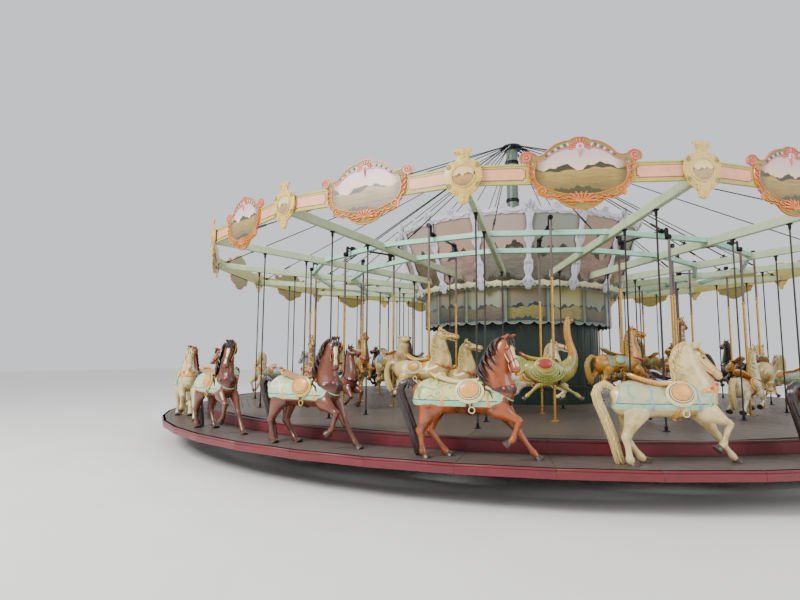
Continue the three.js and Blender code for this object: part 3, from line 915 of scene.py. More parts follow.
@dataclass
class Centre(Assembly):
    """Mast and engine housing, which stand still."""

    radius: float = 1.95
    height: float = 2.94
    batten: float = 0.035
    sides: int = 24
    hoops: tuple[float, ...] = (0.45, 2.2, 3.6, 4.6, 5.6, 6.6)

    def build(self) -> None:
        """Dresses the mast and the housing and trims them."""
        dress("mast", MAST_PAINT)
        dress("housing", HOUSING_GREEN)
        self.trim()
        self.rings()

    def trim(self) -> None:
        """Makes the skirting, the rails and the battens over the joints of the boards."""
        bench = self.bench
        flat = self.radius * cos(pi / self.sides)
        width = 2 * self.radius * sin(pi / self.sides)
        for z, height in ((0.08, 0.16), (self.height - 0.06, 0.12), (1.0, 0.07)):
            bench.block((width + 0.012, 0.03, height), (0, -flat - 0.012, z), TRIM_GREEN, 0.006)
        for share in (-0.25, 0.25):
            bench.block((self.batten, 0.008, self.height - 0.2),
                (share * width, -flat - 0.002, self.height / 2), HOUSING_GREEN, 0.003)
        self.put("housing_trim", "housing_paint", bay_places(0.0, self.sides), body="centre")

    def rings(self) -> None:
        """Makes the iron rings round the mast."""
        bench = self.bench
        for z in self.hoops:
            bench.turned([(0.14, z), (0.165, z),
                (0.17, z + 0.02), (0.17, z + 0.06), (0.165, z + 0.08), (0.14, z + 0.08)], IRON, 24)
        self.put("mast_rings", "black_iron", body="centre")


@dataclass
class Sweeps(Assembly):
    """The sixteen beams that carry the platform, each with its hangers and irons."""

    inner: float = 0.4516
    outer: float = 7.2598
    width: float = 0.1
    depth: float = 0.15
    datum: tuple[float, float] = (2.38, 3.35)
    slope: float = 0.091
    hangers: tuple[float, ...] = (2.9, 5.45, 6.3)
    hanger_radius: float = 0.013
    deck: float = 0.65

    def height(self, radius: float) -> float:
        """The height of a sweep's middle line at a radius."""
        return self.datum[1] + self.slope * (radius - self.datum[0])

    def build(self) -> None:
        """Makes one sweep and turns it to every bay."""
        dress("hub", IRON)
        for number, place in enumerate(bay_places(), 1):
            self.sweep()
            self.put(f"beam_{number:02d}", "sweep_timber", [place], [f"sweep_{number:02d}"])

    def sweep(self) -> None:
        """Makes a beam with its hangers, their sockets and their feet."""
        bench = self.bench
        tilt = atan(self.slope)
        middle = (self.inner + self.outer) / 2
        lean = swung("X", -tilt)
        length = (self.outer - self.inner) / cos(tilt) - 0.015
        slim = 0.014
        spot = (0, -middle, self.height(middle) + slim / 2)
        bench.block((self.width - slim, length, self.depth - slim), spot, SWEEP_GREEN, 0.008, lean)
        for radius in self.hangers:
            under = self.height(radius) - self.depth / 2
            bench.rod((0, -radius, self.deck), (0, -radius, under), self.hanger_radius, STEEL)
            bench.block((0.06, 0.07, 0.026), (0, -radius, under + 0.006), IRON, 0.004, lean)
            bench.turned([(0, -0.08), (0.018, -0.08), (0.022, -0.03), (0.022, 0.01), (0, 0.01)],
                IRON, 12, shifted(0, -radius, under))
            foot = [(0, 0), (0.05, 0), (0.05, 0.008), (0.022, 0.014), (0.02, 0.07), (0, 0.07)]
            bench.turned(foot, IRON, 12, shifted(0, -radius, self.deck))


@dataclass
class CrankFrame(Assembly):
    """Two spreader rings over the sweeps, and in each bay a crankshaft across them."""

    rings: tuple[tuple[float, float], ...] = ((5.03, 3.63), (4.08, 3.53))
    bar: float = 0.085
    shaft: float = 0.02
    height: float = 3.715
    throw: float = 0.13
    rows: tuple[float, float] = (5.1, 3.9)
    pin_half: float = 0.03
    web: float = 0.02
    gap: float = 0.0003

    def build(self) -> None:
        """Makes the rings, and the bays with their outer crank up and down."""
        self.ring_bars()
        for word, sign in (("up", 1), ("down", -1)):
            self.crank(sign)
            places = [place for bay, place in enumerate(bay_places(0.5)) if outer_is_up(bay) == (sign > 0)]
            self.put(f"cranks_{word}", "black_iron", places)

    def ring_bars(self) -> None:
        """Makes the bars of both rings between two sweeps, with the straps at their ends."""
        bench = self.bench
        for radius, z in self.rings:
            middle = radius * cos(STEP / 2)
            length = 2 * radius * sin(STEP / 2)
            bench.block((length, self.bar, self.bar), (0, -middle, z), RING_MINT, 0.006)
            for sign in (-1, 1):
                x = sign * (length / 2 - 0.11)
                bench.block((0.05, self.bar + 0.008, self.bar + 0.008), (x, -middle, z), RING_MINT, 0.003)
        self.put("spreader_rings", "ring_timber", bay_places(0.5), ["crank_frame"])

    def crank(self, outer_sign: int) -> None:
        """Makes a shaft in two bearings with a web at each end, on the bay's middle.

        Args:
            outer_sign: 1 where the outer web points up, -1 where it points down.
        """
        bench = self.bench
        face = self.pin_half + self.gap
        outer, inner = self.rows[0] - face, self.rows[1] + face
        bench.rod((0, -inner, self.height), (0, -outer, self.height), self.shaft, STEEL, 16)
        for radius, z in self.rings:
            middle = radius * cos(STEP / 2)
            base = z + self.bar / 2
            rise = self.height - base
            bench.block((0.15, 0.09, 0.014), (0, -middle, base + 0.007), IRON, 0.003)
            bench.block((0.056, 0.06, rise), (0, -middle, base + rise / 2), IRON, 0.004)
            spot = shifted(0, -middle, self.height) @ swung("X", pi / 2)
            bench.turned([(0, -0.036),
                (0.038, -0.036), (0.044, -0.03), (0.044, 0.03), (0.038, 0.036), (0, 0.036)], IRON, 16, spot)
            for sign in (-1, 1):
                bench.rod(
                    (sign * 0.055, -middle, base), (sign * 0.055, -middle, base + 0.03), 0.011, STEEL, 6)
        for radius, sign, outwards in ((outer, outer_sign, 1), (inner, -outer_sign, -1)):
            half = 0.035
            corners = [
                (half, 0, 0), (half, self.throw, 1), (-half, self.throw, 0), (-half, 0, 1), (half, 0, 0)]
            spot = shifted(0, -radius + (self.web if outwards > 0 else 0), self.height)
            bench.plate(
                arched(corners, 8)[:-1], self.web, IRON, spot @ Matrix.Diagonal((1, 1, sign, 1)), 0.003)


def outer_is_up(bay: int) -> bool:
    """Whether a bay's outer crank is up. Pairs of bays take turns, and the inner crank is opposite."""
    return (bay + 1) % BAYS // 2 % 2 == 0


@dataclass
class RoundingBoards(Assembly):
    """The sixteen boards round the rim, a big shield on each and a small one on each corner."""

    radius: float = 7.3
    thickness: float = 0.03
    centre: float = 3.85
    height: float = 0.257
    proud: float = 0.035
    big: tuple[float, float] = (1.44, 0.9)
    small: tuple[float, float] = (0.45, 0.715)

    @property
    def face(self) -> Matrix:
        """The plane of a board's face, its origin in the middle of the board."""
        return shifted(0, 0.004 - self.radius * cos(STEP / 2), self.centre)

    @property
    def front(self) -> float:
        """Where the front of a big shield is, before that plane."""
        return -self.proud * 0.55

    def build(self) -> None:
        """Makes the boards, the big shields and the small shields."""
        self.board()
        self.big_shield()
        self.small_shield()

    def board(self) -> None:
        """Makes a board with its panels, their lining, and the mouldings along its edges."""
        bench = self.bench
        flat = self.radius * cos(STEP / 2)
        length = 2 * self.radius * sin(STEP / 2)
        depth = self.thickness
        bench.block((length, depth, self.height), (0, -flat + depth / 2, self.centre), BOARD_CREAM, 0.003)
        for sign in (-1, 1):
            z = self.centre + sign * (self.height / 2 - 0.012)
            bench.block((length, 0.012, 0.024), (0, -flat - 0.004, z), BOARD_CREAM, 0.005)
            start, end = self.big[0] / 2 - 0.06, length / 2 - self.small[0] / 2 + 0.03
            middle, half = sign * (start + end) / 2, (end - start) / 2
            for inset, proud, finish in ((0.0, 0.0045, LINE_RUSSET), (0.009, 0.006, BOARD_PEACH)):
                wide, high, notch = half - inset, 0.078 - inset, 0.024 - inset / 3
                corners = [(wide, high - notch), (wide - notch, high - notch), (wide - notch, high)]
                right = [(x, -z) for x, z in reversed(corners)] + corners
                bench.plate([*right, *[(-x, z) for x, z in reversed(right)]],
                    proud, finish, shifted(middle, -flat, self.centre))
        self.put("rounding_board_run", "board_paint", bay_places(0.5), ["rounding_boards"])

    def big_shield(self) -> None:
        """Makes a cartouche with a painted middle, a shell over it, and leaf work at its sides and foot."""
        bench = self.bench
        wide, high = self.big[0] / 2, self.big[1] / 2
        spot, front = self.face, self.front

        def line(corners: Rows) -> Line:
            """A curved line from corners given as shares of the shield's half width and height."""
            return arched([(x * wide, z * high, bulge) for x, z, bulge in corners])

        half = line([(0, -1, 0.25), (0.4, -0.7, -0.25), (0.55, -0.67, 0.35),
            (0.73, -0.44, -0.2), (0.85, -0.16, 0.08), (0.86, 0.22, -0.25), (1.0, 0.36, 0.5),
            (0.93, 0.6, 0.35), (0.78, 0.52, -0.3), (0.6, 0.54, 0.22), (0.17, 0.92, 0.2), (0, 1, 0)])
        bench.plate(mirrored(half), -front, SHIELD_GREEN, spot, 0.006)
        inner = mirrored(line([(0, -0.58, 0.15), (0.46, -0.5, 0.1), (0.7, -0.32, 0.2),
            (0.77, 0.0, 0.1), (0.73, 0.36, -0.2), (0.56, 0.42, 0.2), (0.17, 0.7, 0.1), (0, 0.74, 0)]))
        bench.plate(inner, 0.004, SHIELD_SCENE, spot @ shifted(0, front + 0.001, 0), picture=True)
        split = 0.3 * high
        for finish, keep in ((CORAL, lambda z: z > split), (ORANGE_GOLD, lambda z: z <= split)):
            for shape, girth, plane in ((inner, 0.014, front), (mirrored(half), 0.016, front + 0.006)):
                for run in runs_of(shape, keep):
                    bench.tube([(x, plane, z, 0.01, girth) for x, z in run], finish, 6, spot=spot)
        for sign in (-1, 1):
            self.side_carving(sign)
        self.shell()
        self.palmette()
        self.put("big_shields", "board_paint", bay_places(0.5))

    def side_carving(self, sign: int) -> None:
        """Adds the fluted band, ear, beads, leaves and volutes of one side of a big shield.

        Args:
            sign: The side, -1 or 1.
        """
        bench, spot, front = self.bench, self.face, self.front
        wide, high = self.big[0] / 2, self.big[1] / 2

        def leaf(points: Outline, girth: float, finish: Finish) -> None:
            """Adds a carved leaf, thick in its middle.

            Args:
                points: Its line, as shares of the shield's half width and height.
                girth: Half its thickness.
                finish: The finish it gets.
            """
            last = len(points) - 1
            body = [(0.6, 1.35) if 0 < i < last else (0.3, 0.35) for i in range(last + 1)]
            rows = [(sign * x * wide, front - 0.003, z * high, girth * deep, girth * broad)
                for (x, z), (deep, broad) in zip(points, body)]
            bench.tube(rows, finish, 6, 4, spot=spot)

        for i in range(8):
            share = i / 7
            tilt = swung("Y", sign * (0.45 + 0.45 * share))
            at = spot @ Vector(
                (sign * (0.2 + 0.36 * share) * wide, front, (0.795 - 0.31 * share**1.5) * high))
            bench.ball(at, (0.014, 0.009, 0.026), INDIGO if i % 2 else LAVENDER, 1, tilt)
        bench.scroll((sign * 0.9 * wide, front, 0.47 * high),
            0.062, 1.4, pi / 2 - sign * 2.2, 0.016, CORAL, spot, -sign)
        bench.scroll((sign * 0.64 * wide, front, -0.5 * high),
            0.07, 1.3, sign * 0.6 - pi / 2, 0.017, ORANGE_GOLD, spot, sign)
        for x, z, turn, finish in ((0.83, 0.24, 0.2, ORANGE_GOLD), (0.82, 0.08, -0.1, CORAL),
                (0.82, -0.08, 0.1, ORANGE_GOLD), (0.8, -0.22, -0.2, ORANGE_GOLD), (0.75, -0.36, -0.5, CORAL)):
            curl = (x - 0.07 * sin(turn) - 0.05, z - 0.1)
            leaf([(x + 0.02, z + 0.09), (x + 0.02 + 0.02 * cos(turn), z), curl], 0.02, finish)
        for x, z, turn in ((0.52, -0.6, 0.3), (0.4, -0.62, 0.1), (0.28, -0.68, -0.1), (0.17, -0.76, -0.4)):
            leaf([(x + 0.09, z + 0.03 - 0.03 * turn), (x, z - 0.05), (x - 0.1, z + 0.02)], 0.02, ORANGE_GOLD)
            leaf([(x + 0.05, z - 0.09), (x - 0.02, z - 0.12), (x - 0.09, z - 0.07)], 0.017, ORANGE_GOLD)
        for i in range(6):
            bench.ball(
                spot @ Vector((sign * (0.79 - 0.002 * i) * wide, front - 0.003, (0.26 - 0.075 * i) * high)),
                (0.01, 0.01, 0.012), CORAL if i % 3 else LAVENDER, 1)

    def shell(self) -> None:
        """Adds the shell at the head of a big shield, with its oval middle and its drop."""
        bench, spot, front = self.bench, self.face, self.front
        high = self.big[1] / 2
        for i in range(9):
            angle = (i - 4) * 0.38
            reach = 0.115 - 0.006 * abs(i - 4)
            root = (0.03 * sin(angle), 0.72 * high + 0.02 * cos(angle))
            tip = (reach * sin(angle) * 1.15, 0.72 * high + reach * cos(angle))
            bench.tube([(root[0], front, root[1], 0.008, 0.008),
                ((root[0] + tip[0]) / 2, front - 0.006, (root[1] + tip[1]) / 2, 0.012, 0.015),
                (tip[0], front, tip[1], 0.008, 0.012)], CORAL, 6, 3, spot=spot)
        for finish, proud, size in ((LAVENDER, 0.006, 0.046), (CORAL, 0.01, 0.026)):
            bench.ball(spot @ Vector((0, front - proud, 0.74 * high)), (size * 1.25, 0.014, size), finish, 2)
        bench.tube([(0, front, 0.68 * high, 0.014, 0.03), (0, front - 0.006, 0.56 * high, 0.012, 0.02),
            (0, front, 0.42 * high, 0.004, 0.004)], CORAL, 8, 3, spot=spot)
        for sign in (-1, 1):
            bench.scroll(
                (sign * 0.115, front, 0.72 * high), 0.04, 1.2, pi / 2 + sign * 1.2, 0.011, CORAL, spot, sign)

    def palmette(self) -> None:
        """Adds the palmette over the foot of a big shield."""
        bench, spot, front = self.bench, self.face, self.front
        high = self.big[1] / 2
        for i in range(9):
            angle = (i - 4) * 0.4
            reach = 0.13 + 0.035 * sin(abs(angle))
            tip = (reach * sin(angle) * 1.2, front - 0.004, -0.76 * high + reach * 0.8 * cos(angle))
            root = (0.02 * sin(angle), front, -0.8 * high)
            mid = ((root[0] + tip[0]) / 2, front - 0.008, (root[2] + tip[2]) / 2)
            bench.tube([(*root, 0.01, 0.012), (*mid, 0.016, 0.026), (*tip, 0.006, 0.006)],
                CORAL if i % 4 == 2 else ORANGE_GOLD, 6, 3, spot=spot)
        bench.ball(spot @ Vector((0, front - 0.006, -0.8 * high)), (0.03, 0.016, 0.034), ORANGE_GOLD, 2)

    def small_shield(self) -> None:
        """Makes a carved medallion with a flared head and foot, over a corner of the boards."""
        bench = self.bench
        wide, high = self.small[0] / 2, self.small[1] / 2
        spot = shifted(0, -self.radius + 0.012, self.centre)
        half = arched([(0, -high, 0.2), (0.28 * wide, -0.92 * high, -0.3), (0.52 * wide, -0.62 * high, 0.3),
            (0.92 * wide, -0.3 * high, 0.25), (0.98 * wide, 0.3 * high, 0.25),
            (0.66 * wide, 0.55 * high, -0.4), (0.3 * wide, 0.66 * high, -0.2),
            (0.52 * wide, 0.92 * high, 0.5), (0.24 * wide, 0.98 * high, 0.2), (0, high, 0)])
        bench.plate(mirrored(half), self.proud * 0.7, YELLOW_GOLD, spot, 0.006)
        front = -self.proud * 0.7
        around = 20
        ring = [(0.66 * wide * cos(2 * pi * i / around), 0.4 * high * sin(2 * pi * i / around))
            for i in range(around)]
        bench.plate(ring, 0.005, MEDALLION, spot @ shifted(0, front + 0.001, 0), picture=True)
        loop = [*ring, ring[0], ring[1]]
        bench.tube([(x, front - 0.002, z, 0.012, 0.014) for x, z in loop], YELLOW_GOLD, 6, spot=spot)
        volutes = (
            (0.3, 0.84, 0.038, 1, 0.8, 0.011, YELLOW_GOLD, -1),
            (0.46, -0.6, 0.042, 1, 0.6, 0.012, YELLOW_GOLD, 1),
            (0.84, 0.34, 0.036, 1, 0, 0.01, SHIELD_GREEN, 1),
            (0.84, -0.34, 0.036, -1, 0, 0.01, SHIELD_GREEN, -1),
        )
        for sign in (-1, 1):
            for x, z, radius, up, lean, thick, finish, hand in volutes:
                eye, start = (sign * x * wide, front, z * high), up * pi / 2 - sign * lean
                bench.scroll(eye, radius, 1.2, start, thick, finish, spot, sign * hand)
        for z in (0.84, 0.7, -0.74, -0.88):
            bench.ball(spot @ Vector((0, front, z * high)), (0.022, 0.014, 0.03), YELLOW_GOLD)
        self.put("small_shields", "board_paint", bay_places())


def runs_of(loop: Outline, keep: Callable[[float], bool]) -> list[Line]:
    """The unbroken stretches of a closed loop whose height passes a test.

    Args:
        loop: The points of the loop, one of which fails the test.
        keep: The test of a point's height.

    Returns:
        The stretches, each of two points or more.
    """
    start = next(i for i, (_, z) in enumerate(loop) if not keep(z))
    runs: list[Line] = [[]]
    for point in (*loop[start:], *loop[:start]):
        if keep(point[1]):
            runs[-1].append(point)
        elif runs[-1]:
            runs.append([])
    return [run for run in runs if len(run) > 1]


@dataclass
class Stays(Assembly):
    """The crown on the mast and the rods that it holds the sweeps by."""

    crown: tuple[float, float, float] = (0.24, 6.9803, 7.14)
    start: tuple[float, float] = (0.19, 7.06)
    feet: tuple[float, float] = (4.6, 7.05)
    radius: float = 0.011
    sweeps: Sweeps = field(default_factory=Sweeps)

    def build(self) -> None:
        """Makes the crown and two stays to a sweep."""
        self.stays()
        radius, bottom, top = self.crown
        self.bench.turned(
            [(0, bottom), (radius - 0.02, bottom), (radius, bottom + 0.03), (radius, bottom + 0.1),
            (radius - 0.05, bottom + 0.12), (0.12, top - 0.01), (0.05, top), (0, top)], IRON, 32)
        self.put("crown", "black_iron")

    def stays(self) -> None:
        """Makes the two rods over one sweep, with a turnbuckle and a forged foot on each."""
        bench = self.bench
        tilt = swung("X", -atan(self.sweeps.slope))
        for foot in self.feet:
            top = self.sweeps.height(foot) + self.sweeps.depth / 2
            start = Vector((0, -self.start[0], self.start[1]))
            end = Vector((0, -foot, top + 0.03))
            bench.rod(start, end, self.radius, IRON)
            joint = end + (start - end).normalized() * 0.6
            bench.rod(joint, joint + (start - end).normalized() * 0.22, self.radius * 2.1, STEEL, 6)
            bench.block((0.07, 0.13, 0.014), (0, -foot, top + 0.008), IRON, 0.003, tilt)
            bench.block((0.024, 0.05, 0.06), (0, -foot, top + 0.035), IRON, 0.006, tilt)
            for sign in (-1, 1):
                bench.rod(
                    (0, -foot + sign * 0.048, top), (0, -foot + sign * 0.048, top + 0.03), 0.01, STEEL, 6)
        self.put("stay_run", "black_iron", bay_places(), ["stay_rods"])


@dataclass
class Drum(Assembly):
    """The painted drum round the mast, flaring upwards, with its soffit."""

    bottom: tuple[float, float] = (2.45, 3.16)
    top: tuple[float, float] = (2.9, 4.6)
    soffit: float = 2.19

    @property
    def lean(self) -> float:
        """The angle by which a panel leans outwards."""
        rise = self.top[1] - self.bottom[1]
        return atan((self.top[0] - self.bottom[0]) * cos(STEP / 2) / rise)

    @property
    def slant(self) -> float:
        """A panel's height measured along its slope."""
        return (self.top[1] - self.bottom[1]) / cos(self.lean)

    def build(self) -> None:
        """Makes the panels, their rails, the pillars and the soffit."""
        self.panel()
        self.rails()
        self.pillar()
        rim, z = self.bottom[0] - 0.02, self.bottom[1]
        self.bench.turned(
            [(self.soffit, z - 0.03), (rim, z - 0.03), (rim, z), (self.soffit, z)], CARVED_GREY, 32)
        self.put("drum_soffit", "drum_paint")

    @property
    def halves(self) -> tuple[float, float]:
        """Half the width of a panel, at its foot and at its head."""
        return self.bottom[0] * sin(STEP / 2), self.top[0] * sin(STEP / 2)

    def plane(self, radius: float, proud: float = 0.0) -> Matrix:
        """The plane of a panel or pillar, its origin at the foot, leaning outwards."""
        return shifted(0, -radius, self.bottom[1]) @ swung("X", self.lean) @ shifted(0, -proud, 0)

    def panel(self) -> None:
        """Makes a painted panel between two pillars, boarded behind."""
        bench = self.bench
        low, high = self.halves
        outline = [(-low, 0), (low, 0), (high, self.slant), (-high, self.slant)]
        plane = self.plane(self.bottom[0] * cos(STEP / 2) - 0.03)
        bench.plate(outline, 0.03, DRUM_SCENE, plane, picture=True)
        bench.plate(outline, 0.006, BACK_BOARD, plane @ shifted(0, 0.006, 0))
        self.put("drum_panels", "drum_paint", bay_places(), ["drum"])

    def rails(self) -> None:
        """Makes the cresting over a panel and the scalloped rail under it."""
        bench = self.bench
        low, high = self.halves
        plane = self.plane(self.bottom[0] * cos(STEP / 2), 0.002)
        top = self.slant
        crest = arched([(0, top + 0.19, 0), (0.055, top + 0.185, -0.6), (0.075, top + 0.09, -0.2),
            (0.24, top + 0.05, -0.12), (high * 0.8, top + 0.09, 0.2), (high, top + 0.17, 0)])
        under = arched([(high - 0.02, top - 0.02, 0),
            (high * 0.72, top - 0.075, 0.12), (0.16, top - 0.05, -0.25), (0, top - 0.02, 0)])
        crest = [(0, top - 0.02), *reversed(under[:-1]), *reversed(crest)]
        bench.plate(mirrored(crest), 0.028, LAVENDER, plane, 0.006)
        rail = []
        for lobes, end, z, bulge in ((7, low, -0.055, -0.55), (3, -low, 0.1, -0.22)):
            stops = [(end * (2 * i / lobes - 1), z, bulge) for i in range(lobes + 1)]
            rail += arched(stops, 6)
        bench.plate(rail, 0.034, RAIL_CREAM, plane, 0.006)
        spot = plane @ shifted(0, -0.03, 0)
        for sign in (-1, 1):
            bench.scroll((sign * 0.03, 0, top + 0.12), 0.055, 1.3, pi / 2, 0.014, LAVENDER, spot, -sign)
            leaf = [(0.09, 0, top + 0.02, 0.008, 0.01),
                (0.3, -0.004, top - 0.004, 0.016, 0.016), (high * 0.93, 0, top + 0.07, 0.008, 0.01)]
            bench.tube([(sign * x, *rest) for x, *rest in leaf], LAVENDER, 6, 4, spot=spot)
            leaf = [(low - 0.02, 0, 0.1, 0.006, 0.006),
                (low - 0.1, -0.006, 0.03, 0.016, 0.022), (low - 0.2, 0, -0.01, 0.005, 0.005)]
            bench.tube([(sign * x, *rest) for x, *rest in leaf], CARVED_GREY, 6, 4, spot=spot)
        self.put("drum_rails", "drum_paint", bay_places())

    def pillar(self) -> None:
        """Makes a carved pillar over a corner, with a leafy finial and a drop at its foot."""
        bench = self.bench
        tall = self.slant
        plane = self.plane(self.bottom[0], 0.01)
        half = arched([(0, -0.12, 0.3), (0.06, -0.09, -0.3), (0.11, -0.02, 0.3), (0.1, 0.1, -0.3),
            (0.058, 0.2, 0.2), (0.088, 0.4, 0.3), (0.058, 0.52, -0.1), (0.062, 0.84, 0.3), (0.096, 1.0, 0.3),
            (0.062, 1.12, -0.1), (0.068, tall - 0.16, -0.2), (0.13, tall - 0.02, 0.2),
            (0.125, tall + 0.05, -0.3), (0.085, tall + 0.09, 0.35), (0.1, tall + 0.16, 0.4),
            (0, tall + 0.25, 0)])
        bench.plate(mirrored(half), 0.03, LAVENDER, plane, 0.007)
        spot = plane @ shifted(0, -0.03, 0)
        for z, aside in ((0.06, 0.055), (0.44, 0.04), (1.0, 0.045), (tall, 0.075)):
            for sign in (-1, 1):
                bench.scroll((sign * aside, 0, z), 0.038, 1.2, pi / 2 * sign, 0.01, CARVED_GREY, spot, sign)
        for z, reach in ((0.3, 0.09), (0.7, 0.12), (1.24, 0.09)):
            bench.tube([(0, 0, z - reach, 0.004, 0.004),
                (0, -0.008, z, 0.014, 0.018), (0, 0, z + reach, 0.004, 0.004)], LAVENDER, 6, 4, spot=spot)
        for i in range(5):
            angle = (i - 2) * 0.5
            root = (0, 0, tall + 0.03)
            tip = (0.13 * sin(angle), -0.008, tall + 0.03 + (0.2 - 0.03 * abs(i - 2)) * cos(angle * 0.6))
            mid = tuple((a + b) / 2 for a, b in zip(root, tip))
            bench.tube([(*root, 0.01, 0.01), (mid[0] * 1.3, mid[1] - 0.006, mid[2], 0.02, 0.026),
                (*tip, 0.006, 0.006)], LAVENDER if i % 2 else CARVED_GREY, 6, 3, spot=spot)
        bench.ball(spot @ Vector((0, -0.006, -0.09)), (0.026, 0.016, 0.034), CARVED_GREY)
        self.put("drum_pillars", "drum_paint", bay_places(0.5))


@dataclass
class Skirt(Assembly):
    """The painted valance under the drum, a framed picture to a bay, cut in scallops."""

    radius: float = 2.26
    bottom: float = 2.32
    top: float = 3.1297
    scallops: int = 3
    scallop: float = 0.075

    def build(self) -> None:
        """Makes the valance of one bay: its picture, its frame, its scallops and their edging."""
        bench = self.bench
        flat = self.radius * cos(STEP / 2)
        low = self.radius * sin(STEP / 2)
        edge = self.bottom + self.scallop
        step = 2 * low / self.scallops
        starts = [-low + i * step for i in range(self.scallops)]
        foot = []
        for x in starts:
            foot += arched([(x, edge, 0.45), (x + step, edge, 0)], 6)[:-1]
        foot.append((low, edge))
        outline = [*foot, (low, self.top - 0.003), (-low, self.top - 0.003)]
        spot = shifted(0, -flat + 0.02, 0)
        bench.plate(outline, 0.016, FRAME_OLIVE, spot)
        side, sill, head = low - 0.022, edge - 0.012, self.top - 0.03
        picture = arched([(side, sill, 0),
            (side, head, 0), (-side, head, 0), (-side, sill, -0.05), (side, sill, 0)], 8)[:-1]
        bench.plate(picture, 0.005, SKIRT_SCENE, shifted(0, -flat + 0.005, 0), picture=True)
        bench.block((2 * low + 0.004, 0.022, 0.03), (0, -flat + 0.008, self.top - 0.017), CARVED_GREY, 0.006)
        bench.tube([(x, -flat + 0.001, z, 0.004, 0.004) for x, z in [*picture, picture[0], picture[1]]],
            EDGE_SILVER, 6)
        bench.tube([(x, -flat + 0.006, z + 0.007, 0.008, 0.008) for x, z in foot], EDGE_SILVER, 6)
        self.put("skirt_panels", "skirt_paint", bay_places(0.5), ["skirt"])


@dataclass
class Platform(Assembly):
    """The two-step platform: boards, risers, fascia, and a collar at each pole."""

    inner: float = 2.06
    riser: float = 7.165
    rim: float = 8.0
    top: float = 0.65
    step: float = 0.48
    plank: float = 0.028
    # Radius, foot and head of the dark board under the rim, a painted shadow in the gap under the platform
    shadow_shelf: tuple[float, float, float] = (7.5, 0.3, 0.3997)
    fascia: tuple[float, float] = (0.05, 0.37)
    sides: int = 48
    board: float = 0.128
    joint: float = 0.004
    outer_boards: int = 6
    joists: tuple[float, ...] = (2.3, 3.2, 4.55, 5.9, 7.0)
    poles: tuple[float, float] = (5.1, 3.9)
    hole: float = 0.034

    def build(self) -> None:
        """Makes the upper and the outer deck."""
        self.upper_sector()
        self.outer_sector()
        self.risers()
        self.collars()

    def course(
            self, radius: float, width: float, half_angle: float, z: float, gap: float, split: bool) -> None:
        """Adds one board along the rim, mitred to its sector.

        Args:
            radius: The radius of its inner edge, at the middle of the sector.
            width: How far it reaches outwards.
            half_angle: Half the angle of the sector.
            z: The height of its upper face.
            gap: The joint left at its ends.
            split: Whether it is parted round a pole.
        """
        near, far = (r * tan(half_angle) - gap for r in (radius, radius + width))
        hole = self.hole
        ends = [(-near, near, far, -far)]
        if split:
            ends = [(hole, near, far, hole), (-hole, -near, -far, -hole)]
        bench = self.bench
        for xs in ends:
            ys = (-radius, -radius, -radius - width, -radius - width)
            upper = bench.raised([(x, y, z - self.plank) for x, y in zip(xs, ys)], (0, 0, self.plank))
            bench.soften(upper.edges, 0.003)
        bench.claim(DECK_BROWN)

    def upper_sector(self) -> None:
        """Makes the boards of one bay of the upper deck, on dark joists."""
        bench = self.bench
        flat = cos(STEP / 2)
        half = STEP / 2
        start, end = self.inner * flat, (self.riser - 0.02) * flat
        count = round((end - start) / self.board)
        width = (end - start) / count
        for i in range(count):
            radius = start + i * width
            split = any(radius - self.hole < pole < radius + width + self.hole for pole in self.poles)
            self.course(radius, width - self.joint, half, self.top, self.joint / 2, split)
        for radius in self.joists:
            bench.block(
                (2 * radius * flat * tan(half), 0.07, 0.05), (0, -radius * flat, self.top - 0.054), DECK_DARK)
        self.put("upper_deck_boards", "deck_board", bay_places(0.5), ["upper_deck"])

    def outer_sector(self) -> None:
        """Makes the boards of one forty-eighth of the outer deck."""
        half = pi / self.sides
        flat = cos(half)
        start, end = (self.riser + 0.002) * flat, self.rim * flat - 0.004
        width = (end - start) / self.outer_boards
        for i in range(self.outer_boards):
            self.course(start + i * width, width - self.joint, half, self.step, 0.0015, False)
        names = [f"outer_deck_{number}" for number in (1, 2, 3)]
        self.put("outer_deck_boards", "deck_board", bay_places(0.5, self.sides), names)

    def risers(self) -> None:
        """Makes the riser between the decks, its moulding, the rim's fascia and a dark painted shadow under
        the rim.
        """
        half = pi / self.sides
        flat = cos(half)
        chord = 2 * tan(half)
        for radius, depth, low, high, finish, bevel in (
            (self.riser, 0.02, self.step - 0.02, self.top - 0.03, MAROON, 0.001),
            (self.riser + 0.012, 0.04, self.top - 0.03, self.top, MAROON_DEEP, 0.006),
            (self.riser + 0.006, 0.012, self.step, self.step + 0.03, MAROON_DEEP, 0.003),
            (self.rim - 0.002, self.fascia[0], self.fascia[1], self.step - self.plank, MAROON, 0.004),
            (self.rim, 0.06, self.step - 0.029, self.step, MAROON, 0.008),
            # A dark board and plate under the rim: painted shadow in the gap under the platform
            (self.shadow_shelf[0], 0.02, self.shadow_shelf[1], self.shadow_shelf[2], DECK_DARK, 0.002),
            (self.shadow_shelf[0], 0.36, self.shadow_shelf[2] - 0.02, self.shadow_shelf[2], DECK_DARK, 0.0),
        ):
            outer = radius * flat
            middle = (0, -outer + depth / 2, (low + high) / 2)
            self.bench.block((outer * chord, depth, high - low), middle, finish, bevel)
        self.put("risers", "deck_board", bay_places(0.5, self.sides))

    def collars(self) -> None:
        """Makes a brass collar round each pole's hole, on the middle of a bay."""
        for radius in self.poles:
            spot = shifted(0, -radius, self.top)
            profile = [
                (0.03, -0.03), (0.09, -0.001), (0.09, 0.004), (0.05, 0.009), (0.038, 0.02), (0.03, 0.02)]
            self.bench.turned(profile, BRASS, 20, spot)
        self.put("pole_collars", "brass", bay_places(0.5))


